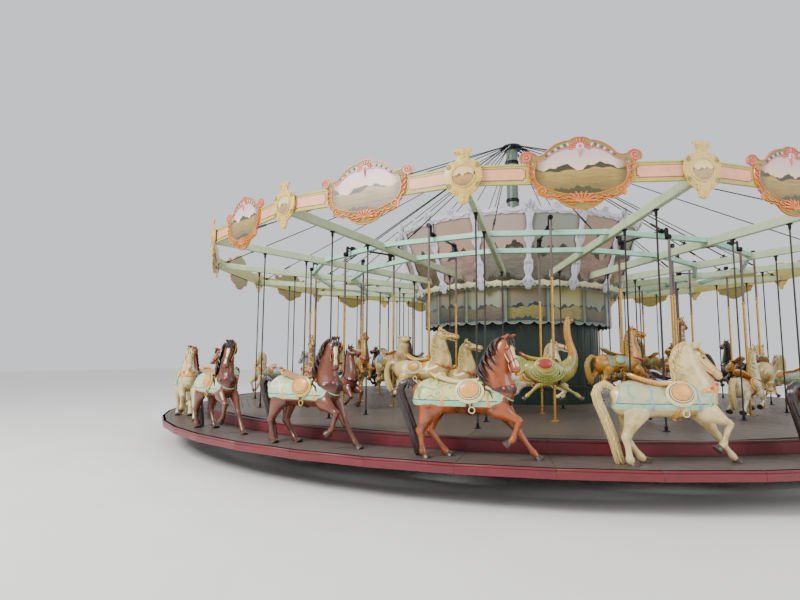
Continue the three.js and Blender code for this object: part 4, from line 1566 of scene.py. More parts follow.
class Part(Enum):
    """What a stretch of a figure is, so that each animal can wear its own colours."""

    COAT = "coat"
    MANE = "mane"
    BLAZE = "blaze"
    HOOF = "hoof"
    BLANKET = "blanket"
    HEM = "hem"
    BAND = "band"
    SADDLE = "saddle"
    FLAP = "flap"
    TRIM = "trim"
    STRAP = "strap"
    LINING = "lining"
    EYE = "eye"
    MOUTH = "mouth"
    FLOWER = "flower"
    POLE = "pole"
    SHAFT = "shaft"
    BEARING = "bearing"


CREAM_COAT = Coat("cream_coat", 0xCDB26C, 0x94743A)
IVORY_COAT = Coat("ivory_coat", 0xD8C288, 0x9A8048)
WHITE_COAT = Coat("white_coat", 0xDDD0AA, 0x9A8E68)
GREY_COAT = Coat("grey_coat", 0xA7A59C, 0x6A6862, Hide.DAPPLED)
CHESTNUT_COAT = Coat("chestnut_coat", 0x9A4C20, 0x4A1E0E)
BAY_COAT = Coat("bay_coat", 0x6E3820, 0x34190E)
BLACK_COAT = Coat("black_coat", 0x2A2420, 0x120E0C)
AMBER_COAT = Coat("amber_coat", 0xC8902F, 0x7E5218)
GIRAFFE_COAT = Coat("giraffe_coat", 0xD8B66A, 0x8A5A26, Hide.BLOTCHED)
OSTRICH_COAT = Coat("ostrich_coat", 0xB5A84C, 0x7A7430, Hide.FEATHERED)
NECK_GOLD = Coat("neck_gold", 0xC48A2A, 0x865414)
BEAR_COAT = Coat("bear_coat", 0xCDB478, 0x86703C)
DARK_HAIR = Hair("dark_hair", 0x2A1A16)
BROWN_HAIR = Hair("brown_hair", 0x5A3420)
CREAM_HAIR = Hair("cream_hair", 0xCFB676)
GOLD_HAIR = Hair("gold_hair", 0xB58A3C)
WING_GREEN = Coat("wing_green", 0xA8A85E, 0x6E7434, Hide.FEATHERED)
HOOF_HORN = Enamel("hoof_horn", 0x4A3A2E, 0.35)
EYE_GLASS = Enamel("eye_glass", 0x120C0A, 0.08, 0.0, 6.0, 0.9)
MOUTH_RED = Enamel("mouth_red", 0x7A2C26, 0.4)
LINING_DARK = Enamel("lining_dark", 0x3A3430, 0.36)
ROSE = Enamel("rose", 0xC4504E, 0.36, 0.3, 30.0, 0.4)
SILVER = Enamel("silver_leaf", 0xB9C2C4, 0.26, 0.4, 16.0, 0.5)
GILT = Enamel("gilt", 0xD0A63E, 0.24, 0.4, 18.0, 0.5)
CREAM_EDGE = Enamel("cream_edge", 0xE6D79E, 0.3, 0.3, 12.0, 0.4)
PEACH = Enamel("peach_leather", 0xE8A24C, 0.3, 0.25, 9.0, 0.5)
TAN = Enamel("tan_leather", 0xB97C3A, 0.3, 0.3, 9.0, 0.5)
RED = Enamel("red_leather", 0xA8372C, 0.3, 0.3, 9.0, 0.5)
DARK = Enamel("dark_leather", 0x4A1F18, 0.32, 0.3, 9.0, 0.4)
BLUE_BAND = Enamel("blue_band", 0x8AA6B4, 0.34, 0.35, 12.0, 0.4)
MINT_HEM = Enamel("mint_hem", 0x93D0AE, 0.34, 0.3, 12.0, 0.4)
PEARL_CLOTH = Cloth("pearl_cloth", 0xBCBE94, 0x8DA89A, Pattern.SCROLLS, 5.0)
SAGE_CLOTH = Cloth("sage_cloth", 0xB9CFA4, 0xE6E2BE, Pattern.SCROLLS, 6.5)
RUSSET_CLOTH = Cloth("russet_cloth", 0xCDD08A, 0x7E9A5A, Pattern.SCROLLS, 6.5)
YELLOW_CLOTH = Cloth("yellow_cloth", 0xD29A34, 0xA9A052, Pattern.SPRIGS, 9.0)
BLUE_CLOTH = Cloth("blue_cloth", 0x5E88A8, 0xE0DCC0, Pattern.SPRIGS)
RED_CLOTH = Cloth("red_cloth", 0xA84038, 0xD9B050, Pattern.SPRIGS)
LILAC_CLOTH = Cloth("lilac_cloth", 0xAFA8C4, 0x5A7A5A, Pattern.SCROLLS, 7.0)
TEAL_CLOTH = Cloth("teal_cloth", 0x5E9A8E, 0xE2C468, Pattern.SCROLLS, 8.0)
MINT_CLOTH = Cloth("mint_cloth", 0xA9D0BC, 0x6A8AA0, Pattern.SPRIGS)


@dataclass(frozen=True)
class Livery:
    """The colours that one animal wears."""

    coat: Finish
    mane: Finish
    blanket: Finish
    hem: Finish
    band: Finish
    saddle: Finish
    flap: Finish
    strap: Finish
    trim: Finish = GILT
    blaze: Finish = IVORY_COAT
    flower: Finish = ROSE

    def finish_of(self, part: Part) -> Finish:
        """The finish of a part in these colours.

        Args:
            part: What is to be painted.

        Returns:
            Its finish, the same for all where the livery has no colour of its own.
        """
        fixed = {Part.HOOF: HOOF_HORN, Part.EYE: EYE_GLASS, Part.MOUTH: MOUTH_RED,
            Part.LINING: LINING_DARK, Part.POLE: BRASS, Part.SHAFT: SHAFT_PAINT, Part.BEARING: IRON}
        return fixed.get(part) or getattr(self, part.value)


IVORY_STANDER = Livery(
    IVORY_COAT, CREAM_HAIR, PEARL_CLOTH, MINT_HEM, BLUE_BAND, PEACH, PEACH, PEACH, CREAM_EDGE)
CHESTNUT_STANDER = Livery(
    CHESTNUT_COAT, DARK_HAIR, RUSSET_CLOTH, MINT_HEM, PEACH, CREAM_EDGE, PEACH, DARK, CREAM_EDGE)
BAY_STANDER = Livery(BAY_COAT, DARK_HAIR, SAGE_CLOTH, MINT_HEM, PEACH, TAN, PEACH, DARK, GILT)
GREY_STANDER = Livery(GREY_COAT, BROWN_HAIR, LILAC_CLOTH, BLUE_BAND, RED, DARK, RED, DARK, SILVER, GREY_COAT)
STANDER_LIVERIES = (
    CHESTNUT_STANDER, IVORY_STANDER, BAY_STANDER, GREY_STANDER, IVORY_STANDER, CHESTNUT_STANDER,
)


@dataclass(frozen=True)
class Spine:
    """The stations of a trunk from rump to poll, and what is found along it.

    Each station has x, height, half depth and half width in centimetres, and a pinch where its upper edge
    is narrow.
    """

    stations: tuple[tuple[float, ...], ...]

    def rows(self, between: int = 3) -> list[tuple[float, ...]]:
        """The stations as rows for a tube, with smooth ones in between."""
        full = []
        for x, z, deep, wide, *pinch in self.stations:
            full.append((x * CM, 0.0, z * CM, deep * CM, wide * CM, sum(pinch)))
        return interpolated(full, between)

    def frame_at(self, share: float) -> tuple[Vector, Vector, Vector, float, float, float]:
        """What the trunk is like part of the way along.

        Args:
            share: How far along, from 0 at the rump to 1 at the poll.

        Returns:
            Its middle, the directions ahead and up, and its half depth, half width and pinch.
        """
        rows = self.rows()
        spot = share * (len(rows) - 1)
        index = min(int(spot), len(rows) - 2)
        blend = spot - index
        row = [a + (b - a) * blend for a, b in zip(rows[index], rows[index + 1])]
        ahead = (Vector(rows[index + 1][:3]) - Vector(rows[index][:3])).normalized()
        return Vector(row[:3]), ahead, ahead.cross(Vector((0, 1, 0))), row[3], row[4], row[5]

    def skin_at(self, share: float, turn: float, proud: float) -> Vector:
        """A point over the coat.

        Args:
            share: How far along the spine.
            turn: The angle round the trunk, 0 on its upper edge and growing to the left side.
            proud: How far it stands off the coat.

        Returns:
            The point.
        """
        middle, _, up, depth, width, pinch = self.frame_at(share)
        across = sin(turn) * (width * (1 - pinch * max(cos(turn), 0.0)) + proud)
        return middle + Vector((0, across, 0)) + up * (cos(turn) * (depth + proud))


@dataclass(frozen=True)
class Leg:
    """A leg by its joints, from the body to the toe, all as x and height in centimetres."""

    hip: tuple[float, float]
    knee: tuple[float, float]
    fetlock: tuple[float, float]
    toe: tuple[float, float]
    side: int
    girth: float = 1.0


class Kind(Enum):
    """The kinds of figure on the carousel."""

    HORSE = "horse"
    STANDER = "stander"
    TURNED = "turned"
    OSTRICH = "ostrich"
    GIRAFFE = "giraffe"
    BEAR = "bear"


@dataclass(frozen=True)
class Head:
    """Where a head sits and how it is held: its poll, its nod and turn in radians, and its size."""

    poll: tuple[float, float]
    nod: float
    size: float
    turn: float = 0.0


@dataclass(frozen=True)
class Saddle:
    """A saddle: the line of its seat from cantle to pommel, and the middle and half size of its flap."""

    seat: tuple[tuple[float, float], ...]
    flap: tuple[float, float]
    reach: tuple[float, float]


@dataclass(frozen=True)
class Anatomy:
    """The proportions of one kind of figure in centimetres, about the middle of its barrel."""

    spine: Spine
    legs: tuple[Leg, ...]
    hip: float
    head: Head
    tail: tuple[tuple[float, float], ...]
    saddle: Saddle


HORSE_HEAD = (
    (-75, -55, 20, 20), (-50, -60, 70, 45), (30, -78, 105, 64), (120, -70, 90, 60), (210, -58, 62, 46),
    (300, -52, 50, 43), (360, -52, 50, 49), (392, -58, 34, 36), (402, -60, 10, 12),
)
HORSE_FACE = (
    (Part.COAT, (
        (200, 0, -105, 22, 30), (290, 0, -122, 20, 30), (345, 0, -125, 18, 30), (365, 0, -120, 6, 12))),
    (Part.MOUTH, ((220, 0, -98, 14, 28), (330, 0, -104, 12, 36), (365, 0, -100, 6, 20))),
    (Part.BLAZE, (
        (90, 0, 24, 4, 6), (130, 0, 18, 7, 26), (240, 0, 0, 6, 16), (340, 0, -4, 7, 22),
        (375, 0, -18, 4, 10))),
    (Part.COAT, ((0, 30, 0, 20, 16), (-8, 38, 35, 24, 14), (0, 44, 75, 17, 10), (14, 44, 105, 3, 3))),
)
GIRAFFE_HORN = ((30, 22, 0, 12, 12), (25, 26, 90, 10, 10), (25, 26, 120, 16, 16), (25, 26, 130, 4, 4))

# Each row is a bone's number, the share along it, the spread, and the half depth and width in metres
LEG_SHAPE = (
    (0, 0.3, 0.97, 0.092, 0.06), (0, 0.6, 1, 0.062, 0.047), (0, 0.88, 1, 0.042, 0.038),
    (0, 1, 1, 0.044, 0.041), (1, 0.2, 1, 0.034, 0.031), (1, 0.5, 1, 0.025, 0.025), (1, 0.8, 1, 0.027, 0.026),
    (1, 1, 1, 0.036, 0.034), (2, 0.5, 1, 0.027, 0.028),
)
HOOF_SHAPE = (
    (2, 0.42, 1, 0.03, 0.03), (2, 0.52, 1, 0.038, 0.038), (2, 0.92, 1, 0.05, 0.05), (2, 1, 1, 0.046, 0.046),
)

STANDING_LEGS = (
    Leg((33, -9), (52, -38), (68, -60), (75, -68), 1, 1.1),
    Leg((30, -9), (54, -24), (47, -44), (39, -51), -1, 1.1),
    Leg((-42, -8), (-49, -39), (-32, -62), (-25, -68), 1, 1.3),
    Leg((-42, -8), (-56, -38), (-53, -61), (-48, -68), -1, 1.3),
)
STANDING_BARREL = (
    (-67, 4, 3, 3), (-63, 4, 12, 10), (-50, 0, 19.5, 16.5, 0.15), (-32, -1, 18.2, 16.8, 0.2),
    (-10, -1, 17.2, 16.6, 0.2), (12, 0, 18.8, 16, 0.3), (28, 5, 22.2, 14.5, 0.4),
)
STANDING_TAIL = ((-61, 9), (-74, 17), (-83, 7), (-76, -14), (-67, -38), (-60, -64))
STANDING_SADDLE = Saddle(
    ((-45, 25), (-40, 24), (-28, 20), (-12, 17), (4, 18), (13, 22), (16, 24)), (1, 7.5), (16.5, 13.5))
ANATOMY = {
    Kind.HORSE: Anatomy(
        spine=Spine((
            (-63, 3, 3, 3), (-60, 3, 10, 9), (-48, 0, 16.8, 14.5, 0.15), (-30, -1, 16, 15, 0.2),
            (-10, -1, 15, 14.8, 0.2), (8, 0, 16, 14.5, 0.3), (20, 6, 19, 13, 0.4), (22.5, 19, 17.2, 10, 0.5),
            (20.5, 32, 14.8, 8.2, 0.55), (19.5, 44, 12.2, 7, 0.5), (20, 54, 9.5, 5.8, 0.3),
            (23.5, 60, 4, 4))),
        legs=(
            Leg((25, -8), (46, -15), (40, -33), (33, -40), 1),
            Leg((23, -8), (40, -23), (27, -33), (19, -36), -1),
            Leg((-42, -7), (-58, -22), (-66, -35), (-71, -41), 1, 1.15),
            Leg((-40, -7), (-47, -26), (-57, -37), (-63, -42), -1, 1.15),
        ),
        hip=8.8,
        head=Head((20, 63.5), -0.16, 0.86),
        tail=((-58, 8), (-70, 12), (-79, 0), (-78, -16), (-72, -32)),
        saddle=Saddle(
            ((-44, 26), (-40, 24.5), (-30, 19.5), (-18, 16.8), (-7, 17.8), (-2, 20), (0, 21.5)), (-20, 5),
            (15, 11)),
    ),
    Kind.STANDER: Anatomy(
        spine=Spine((
            *STANDING_BARREL, (22.5, 20, 19, 11.2, 0.5), (17.5, 33, 16.2, 9.5, 0.55), (16, 44, 14.2, 8, 0.5),
            (18.5, 52, 11, 6.8, 0.3), (23, 56.5, 5, 4.5))),
        legs=STANDING_LEGS,
        hip=10.5,
        head=Head((25, 55.5), -0.7, 1.06),
        tail=STANDING_TAIL,
        saddle=STANDING_SADDLE,
    ),
    Kind.TURNED: Anatomy(
        spine=Spine((
            *STANDING_BARREL, (27, 20, 19.5, 11.2, 0.5), (29, 34, 16.5, 9.5, 0.55), (33, 47, 13.5, 8, 0.5),
            (37.5, 57, 10.5, 6.8, 0.3), (42, 62, 5, 4.5))),
        legs=STANDING_LEGS,
        hip=10.5,
        head=Head((42, 65.5), -1.0, 1.0, -0.85),
        tail=STANDING_TAIL,
        saddle=STANDING_SADDLE,
    ),
    Kind.OSTRICH: Anatomy(
        spine=Spine((
            (-50, 12, 3, 3), (-44, 9, 10, 9), (-30, 3, 17.5, 14, 0.1), (-10, 0, 19.5, 15, 0.1),
            (8, 0, 18.5, 13.8, 0.1), (20, 5, 14.5, 9.8, 0.1), (27.5, 17, 9.5, 6.6), (28.5, 30, 6.2, 5.2),
            (23.5, 46, 5.5, 4.7), (21, 62, 5, 4.4), (21.5, 76, 4.5, 4.1), (24, 82, 3, 3))),
        legs=(
            Leg((2, -12), (18, -25), (36, -36), (44, -43), 1, 0.9),
            Leg((-10, -12), (-27, -22), (-42, -36), (-49, -43), -1, 0.9),
        ),
        hip=8,
        head=Head((23.5, 83.5), -0.35, 0.52),
        tail=((-40, 12), (-55, 16), (-66, 8), (-70, -4)),
        saddle=Saddle(
            ((-50, 26.5), (-46, 25), (-36, 21), (-24, 19), (-14, 20), (-8, 23.5), (-5, 25)), (-16, 10.5),
            (16, 11.2)),
    ),
    Kind.GIRAFFE: Anatomy(
        spine=Spine((
            (-49, 1, 3, 3), (-46, 0, 10, 9), (-37, -2, 15.2, 13, 0.15), (-15, -1, 15.8, 13.5, 0.2),
            (5, 0, 16.5, 13.2, 0.2), (20, 6, 18, 12, 0.3), (26, 24, 12.5, 8.2, 0.4), (27.5, 44, 9, 6.2, 0.3),
            (28, 62, 7.2, 5.2, 0.3), (29, 76, 6.2, 4.8, 0.2), (32, 84, 3.5, 3.5))),
        legs=(
            Leg((24, -8), (45, -20), (41, -36), (35, -42), 1, 0.9),
            Leg((22, -8), (40, -23), (31, -36), (25, -41), -1, 0.9),
            Leg((-30, -6), (-44, -24), (-54, -38), (-59, -43), 1),
            Leg((-30, -6), (-38, -26), (-47, -39), (-52, -43), -1),
        ),
        hip=8.5,
        head=Head((29, 88.5), -0.45, 0.72),
        tail=((-43, 5), (-50, 0), (-53, -14), (-52, -26)),
        saddle=Saddle(
            ((-36, 24), (-32, 22.5), (-24, 18.5), (-12, 16.5), (0, 17.5), (5, 20.5), (7, 22)), (-12, 5),
            (12, 11)),
    ),
    Kind.BEAR: Anatomy(
        spine=Spine((
            (-56, -2, 3, 3), (-52, -2, 12, 11), (-40, -2, 18.8, 16), (-20, -2, 18, 16.2),
            (0, -1, 17.8, 16, 0.1), (18, 3, 19, 15.5, 0.2), (27, 14, 16.5, 13.5, 0.2),
            (31, 28, 13, 11.5, 0.1), (34, 38, 11, 10.5), (37, 44, 5, 5))),
        legs=(
            Leg((25, -8), (44, -14), (53, -26), (58, -31), 1, 1.5),
            Leg((23, -8), (38, -22), (34, -35), (32, -40), -1, 1.5),
            Leg((-32, -8), (-42, -22), (-48, -33), (-46, -39), 1, 1.7),
            Leg((-30, -8), (-36, -25), (-37, -36), (-33, -41), -1, 1.7),
        ),
        hip=9.5,
        head=Head((33.5, 46), 0.3, 0.62),
        tail=((-50, 3), (-57, 0), (-60, -6)),
        saddle=Saddle(
            ((-38, 26), (-34, 24.5), (-26, 20), (-14, 18), (-2, 19), (3, 22), (5, 23.5)), (-15, 5), (13, 12)),
    ),
}


# How far a mane's locks wrap round the neck, blow back, swell and fall
MANES = {Kind.HORSE: (1.25, 0, 1, 0.07), Kind.STANDER: (1.1, 0, 0.6, 0.1), Kind.TURNED: (1.75, 0.05, 1, 0.1)}

# Where a cover begins and ends along the spine, how far it stands off, what it is, and where it is cut off
BARDING = (
    (0.09, 0.57, 0.01, Part.TRIM, -0.093),
    (0.09, 0.57, 0.013, Part.HEM, -0.085),
    (0.092, 0.568, 0.0155, Part.LINING, -0.033),
    (0.094, 0.566, 0.018, Part.BLANKET, -0.025),
    (0.265, 0.299, 0.021, Part.BAND, -0.097),
    (0.475, 0.509, 0.021, Part.BAND, -0.097),
    (0.385, 0.41, 0.02, Part.STRAP),
    (0.565, 0.59, 0.015, Part.STRAP),
)
BLANKET = (
    (0.215, 0.435, 0.008, Part.TRIM, -0.062),
    (0.22, 0.43, 0.011, Part.HEM, -0.054),
    (0.23, 0.42, 0.014, Part.BLANKET, -0.032),
    (0.335, 0.36, 0.02, Part.STRAP),
    (0.565, 0.59, 0.015, Part.STRAP),
)


@dataclass
class Carver:
    """Carves one kind of figure, every part of it on one bench."""

    kind: Kind
    bench: Workbench = field(default_factory=Workbench)

    @property
    def form(self) -> Anatomy:
        """The figure's proportions."""
        return ANATOMY[self.kind]

    @property
    def standing(self) -> bool:
        """Whether the figure stands on the deck."""
        return self.kind in (Kind.STANDER, Kind.TURNED)

    def carve(self) -> Workbench:
        """Carves the whole figure.

        Returns:
            The bench it lies on.
        """
        self.bench.tube(self.form.spine.rows(), Part.COAT, 18)
        for leg in self.form.legs:
            self.leg(leg)
        if self.kind is Kind.OSTRICH:
            self.sleeve(0.6, 0.99, 0.003, Part.BLAZE)
            self.bird_head()
            self.plumage()
        elif self.kind is Kind.BEAR:
            self.bear_head()
        else:
            self.horse_head()
            self.mane()
        self.tail()
        self.tack()
        return self.bench

    def leg(self, leg: Leg) -> None:
        """Carves a leg with its joints, and its hoof, claw or paw.

        Args:
            leg: Its joints.
        """
        y = leg.side * self.form.hip * CM
        joints = [Vector(joint) * CM for joint in (leg.hip, leg.knee, leg.fetlock, leg.toe)]
        (x, z), girth = joints[0], leg.girth
        hip = [(x, y * 0.72, z + 0.06, 0.1 * girth, 0.05)]
        hip.append((x, y * 0.88, z - 0.01, 0.112 * girth, 0.064 * girth))
        foot = Part.COAT if self.kind is Kind.BEAR else Part.HOOF
        for rows, shape, part, between in ((hip, LEG_SHAPE, Part.COAT, 2), ([], HOOF_SHAPE, foot, 1)):
            for bone, along, out, deep, wide in shape:
                x, z = joints[bone].lerp(joints[bone + 1], along)
                rows.append((x, y * out, z, deep * girth, wide * girth))
            self.bench.tube(rows, part, 10, between)

    def head_spot(self) -> Matrix:
        """The place of the head's own frame.

        Returns:
            The frame, in which x runs from the poll to the nose and 1 is the head's size.
        """
        head = self.form.head
        x, z = (size * CM for size in head.poll)
        place = shifted(x, 0, z) @ swung("Z", head.turn) @ swung("Y", -head.nod)
        return place @ Matrix.Scale(head.size, 4)

    def on_head(self, rows: Rows, part: Part, sides: int = 8, between: int = 2) -> None:
        """Adds a swept shape to the head, on both sides of it if it isn't in the middle.

        Args:
            rows: x, y, z, half depth, half width and a pinch, all in thousandths of the head's size.
            part: What it is.
            sides: Points round it.
            between: Smooth steps from one row to the next.
        """
        for sign in (-1, 1) if rows[0][1] else (1,):
            stations = [(x * MM, sign * y * MM, *[size * MM for size in rest]) for x, y, *rest in rows]
            self.bench.tube(stations, part, sides, between, spot=self.head_spot())

    def knob(self, at: Row, radii: Row, part: Part, detail: int = 2) -> None:
        """Adds a knob to the head, on both sides of it if it isn't in the middle.

        Args:
            at: Its x, y and z in thousandths of the head's size.
            radii: Its half size on each axis, in millimetres.
            part: What it is.
            detail: How often its faces are divided.
        """
        for sign in (-1, 1) if at[1] else (1,):
            middle = self.head_spot() @ (Vector((at[0], sign * at[1], at[2])) * MM)
            self.bench.ball(middle, Vector(radii) * MM, part, detail)

    def bird_head(self) -> None:
        """Carves a small head with a broad beak."""
        self.on_head([(-70, 0, -40, 30, 30), (-30, 0, -35, 70, 55),
            (50, 0, -30, 75, 60), (120, 0, -45, 50, 45), (160, 0, -50, 30, 35)], Part.BLAZE, 12)
        for rise, drop in ((-45, -55), (-68, -88)):
            self.on_head(
                [(120, 0, rise, 20, 36), (200, 0, rise - 4, 16, 30), (270, 0, drop, 5, 14)], Part.STRAP)
        self.knob((60, 52, -5), (14, 10, 14), Part.EYE)

    def bear_head(self) -> None:
        """Carves a broad head with a blunt muzzle and round ears."""
        self.on_head([(-160, 0, -60, 50, 50), (-100, 0, -50, 140, 150), (0, 0, -40, 170, 170),
            (100, 0, -50, 140, 140), (180, 0, -70, 85, 85), (280, 0, -75, 65, 65),
            (340, 0, -75, 40, 45)], Part.COAT, 14)
        self.knob((340, 0, -50), (28, 30, 22), Part.EYE)
        self.knob((-40, 140, 100), (35, 22, 40), Part.COAT)
        self.knob((130, 85, 25), (13, 10, 13), Part.EYE)
        self.on_head([(160, 0, -130, 20, 50), (260, 0, -140, 18, 40), (310, 0, -135, 8, 20)], Part.MOUTH)

    def horse_head(self) -> None:
        """Carves a horse's head, or a giraffe's: muzzle, jaw, eyes, ears and bridle."""
        size = self.form.head.size
        self.on_head([(x, 0, z, deep, wide, 250) for x, z, deep, wide in HORSE_HEAD], Part.COAT, 14)
        for part, rows in HORSE_FACE:
            self.on_head(rows, part)
        self.knob((115, 50, -18), (24 * size, 14, 20 * size), Part.COAT)
        self.knob((118, 58, -20), (14 * size, 10, 12 * size), Part.EYE)
        self.knob((372, 34, -35), (13, 10, 11), Part.MOUTH, 1)
        self.knob((60, 52, -85), (62 * size, 22, 72 * size), Part.COAT)
        self.bridle()
        if self.kind is Kind.GIRAFFE:
            self.on_head(GIRAFFE_HORN, Part.MANE)
            return
        for y in (0, 20):
            lock = [(-30, y, 30, 18, 18),
                (30, y * 1.4, 42, 18, 18), (80, y * 1.9, 30, 12, 14), (125, y * 1.4, 20, 3, 3)]
            self.on_head(lock, Part.MANE, 6)

    def bridle(self) -> None:
        """Adds the noseband, browband and cheek straps as thin sleeves over the head."""
        for start, end in ((255, 285), (55, 80)):
            rows = []
            for share, swell in ((0, -4), (0.15, 7), (0.85, 7), (1, -4)):
                x = start + (end - start) * share
                after = next(i for i, row in enumerate(HORSE_HEAD) if row[0] > x)
                (x0, *a), (x1, *b) = HORSE_HEAD[after - 1], HORSE_HEAD[after]
                z, deep, wide = (p + (q - p) * (x - x0) / (x1 - x0) for p, q in zip(a, b))
                rows.append((x, 0, z, deep + swell, wide + swell, 220))
            self.on_head(rows, Part.STRAP, 14, 1)
        for part, girth, proud in ((Part.STRAP, 15, 0), (Part.TRIM, 8, 3)):
            rows = [(50, 70 + proud, -40, girth, 5),
                (150, 62 + proud, -65, girth, 5), (270, 49 + proud, -60, girth * 0.8, 5)]
            self.on_head(rows, part, 6, 3)
        self.knob((45, 74, -35), (22, 8, 22), Part.TRIM)

    def mane(self) -> None:
        """Carves the mane: locks laid over the crest on both sides, hugging the neck or blown back."""
        spine = self.form.spine
        start, end, locks = 0.6, 0.985, 15
        crest = [spine.skin_at(start + (end - start) * i / locks, 0.0, 0.004) for i in range(locks + 1)]
        self.bench.tube([(*root, 0.024, 0.02) for root in crest], Part.MANE, 8, 2)
        if self.kind is Kind.GIRAFFE:
            return
        wrap, wild, thick, fall = MANES[self.kind]
        for sign in (-1, 1):
            for i in range(locks):
                root = start + (end - start) * (i + 0.6) / locks
                sway = 0.16 * sin(i * 2.3 + sign)
                rows = []
                for share, girth in ((0.0, 0.014), (0.22, 0.026), (0.5, 0.025), (0.78, 0.017), (1.0, 0.004)):
                    turn = wrap * share * (1 + sway * share) * (1.0 if i % 2 else 0.82)
                    spot = spine.skin_at(max(root - fall * share, 0.5), sign * turn, 0.01 - 0.004 * share)
                    blown = wild * share * (1 + sway)
                    spot += Vector((-blown, sign * blown * 0.35, blown * 0.15))
                    rows.append((*spot, girth * thick, girth * thick * 0.7))
                self.bench.tube(rows, Part.MANE, 6, 2, side=(1, 0, 0))

    def tail(self) -> None:
        """Carves the tail as a few strands round one arched line."""
        line = self.form.tail
        plain = self.kind in (Kind.BEAR, Kind.GIRAFFE)
        thick = {Kind.GIRAFFE: 0.016, Kind.BEAR: 0.03, Kind.OSTRICH: 0.03}.get(self.kind, 0.04)
        strands = 1 if plain else 5
        last = len(line) - 1
        for strand in range(strands):
            angle = 2 * pi * strand / strands
            spread = 0.0 if plain else 0.026
            rows = []
            for i, (x, z) in enumerate(line):
                x, z = x * CM, z * CM
                share = i / last
                fan = spread * (0.45 + 0.75 * share) * (1 if i else 0.4)
                girth = thick * (1.0 - 0.35 * share) if 0 < i < last else thick * 0.5
                turn = angle + share * 1.2
                rows.append((x + fan * cos(turn), fan * sin(turn), z + fan * 0.4 * cos(turn), girth, girth))
            rows.append((rows[-1][0] + 0.03, rows[-1][1], rows[-1][2] - 0.04, 0.004, 0.004))
            self.bench.tube(rows, Part.COAT if plain else Part.MANE, 8, 2)

    def plumage(self) -> None:
        """Lays an oval wing with nested feathers on each side, and tail plumes behind."""
        for sign in (-1, 1):
            self.bench.ball((-0.13, sign * 0.118, 0.01), (0.28, 0.05, 0.17), Part.MANE, 3)
            for ring in range(4):
                reach = 1.0 - 0.2 * ring
                rows = []
                for step in range(7):
                    angle = pi * (1.02 + 0.92 * step / 6)
                    girth = 0.024 * sin(pi * (0.12 + 0.8 * step / 6))
                    rows.append(
                        (-0.13 + 0.282 * reach * cos(angle), sign * (0.15 + 0.014 * ring - 0.012 * reach),
                        0.015 + 0.16 * reach * sin(angle), girth * 0.8, girth))
                self.bench.tube(rows, Part.COAT if ring % 2 else Part.MANE, 6, 2, side=(0, 0, 1))
            for i in range(6):
                angle = 0.62 - i * 0.28
                root = (-0.38, sign * 0.04, 0.09)
                tip = (-0.4 - 0.25 * cos(angle), sign * (0.02 + 0.018 * i), 0.1 + 0.23 * sin(angle))
                mid = ((root[0] + tip[0]) * 0.5, root[1] + sign * 0.02, (root[2] + tip[2]) * 0.5 + 0.02)
                self.bench.tube([(*root, 0.03, 0.02), (*mid, 0.044, 0.022), (*tip, 0.016, 0.01)],
                    Part.COAT if i % 2 else Part.MANE, 8, 3)

    def sleeve(self, start: float, end: float, swell: float, part: Part, cut: float | None = None) -> None:
        """Adds a close cover round the trunk between two shares of the spine.

        Args:
            start: The share where it begins.
            end: The share where it ends.
            swell: How far it stands off the coat.
            part: What it is.
            cut: The height under which it is cut off, if it is.
        """
        steps = max(2, round((end - start) * 24))
        rows = []
        for i in range(steps + 1):
            middle, _, _, depth, width, pinch = self.form.spine.frame_at(start + (end - start) * i / steps)
            proud = swell if 0 < i < steps else swell * 0.3
            rows.append((*middle, depth + proud, width + proud, pinch * 0.9))
        faces = self.bench.tube(rows, part, 18)
        if cut is None:
            return
        bm = self.bench.bm
        edges = dict.fromkeys(edge for face in faces for edge in face.edges)
        made = bmesh.ops.bisect_plane(bm, geom=[*corners_of(faces), *edges, *faces],
            dist=1e-5, plane_co=(0, 0, cut), plane_no=(0, 0, 1), clear_inner=True)["geom_cut"]
        rim = [item for item in made if isinstance(item, Edge)]
        bmesh.ops.contextual_create(bm, geom=rim)
        self.bench.claim(part)

    def tack(self) -> None:
        """Dresses the figure in its barding or blanket, girth, breast strap and saddle."""
        if self.kind is Kind.OSTRICH:
            self.sleeve(0.335, 0.36, 0.02, Part.STRAP)
        else:
            for cover in BARDING if self.standing else BLANKET:
                self.sleeve(*cover)
            for turn in (-2.0, -2.5, 2.0, 2.5):
                self.bench.ball(self.form.spine.skin_at(0.577, turn, 0.018), (0.02,) * 3, Part.FLOWER)
        self.saddle()

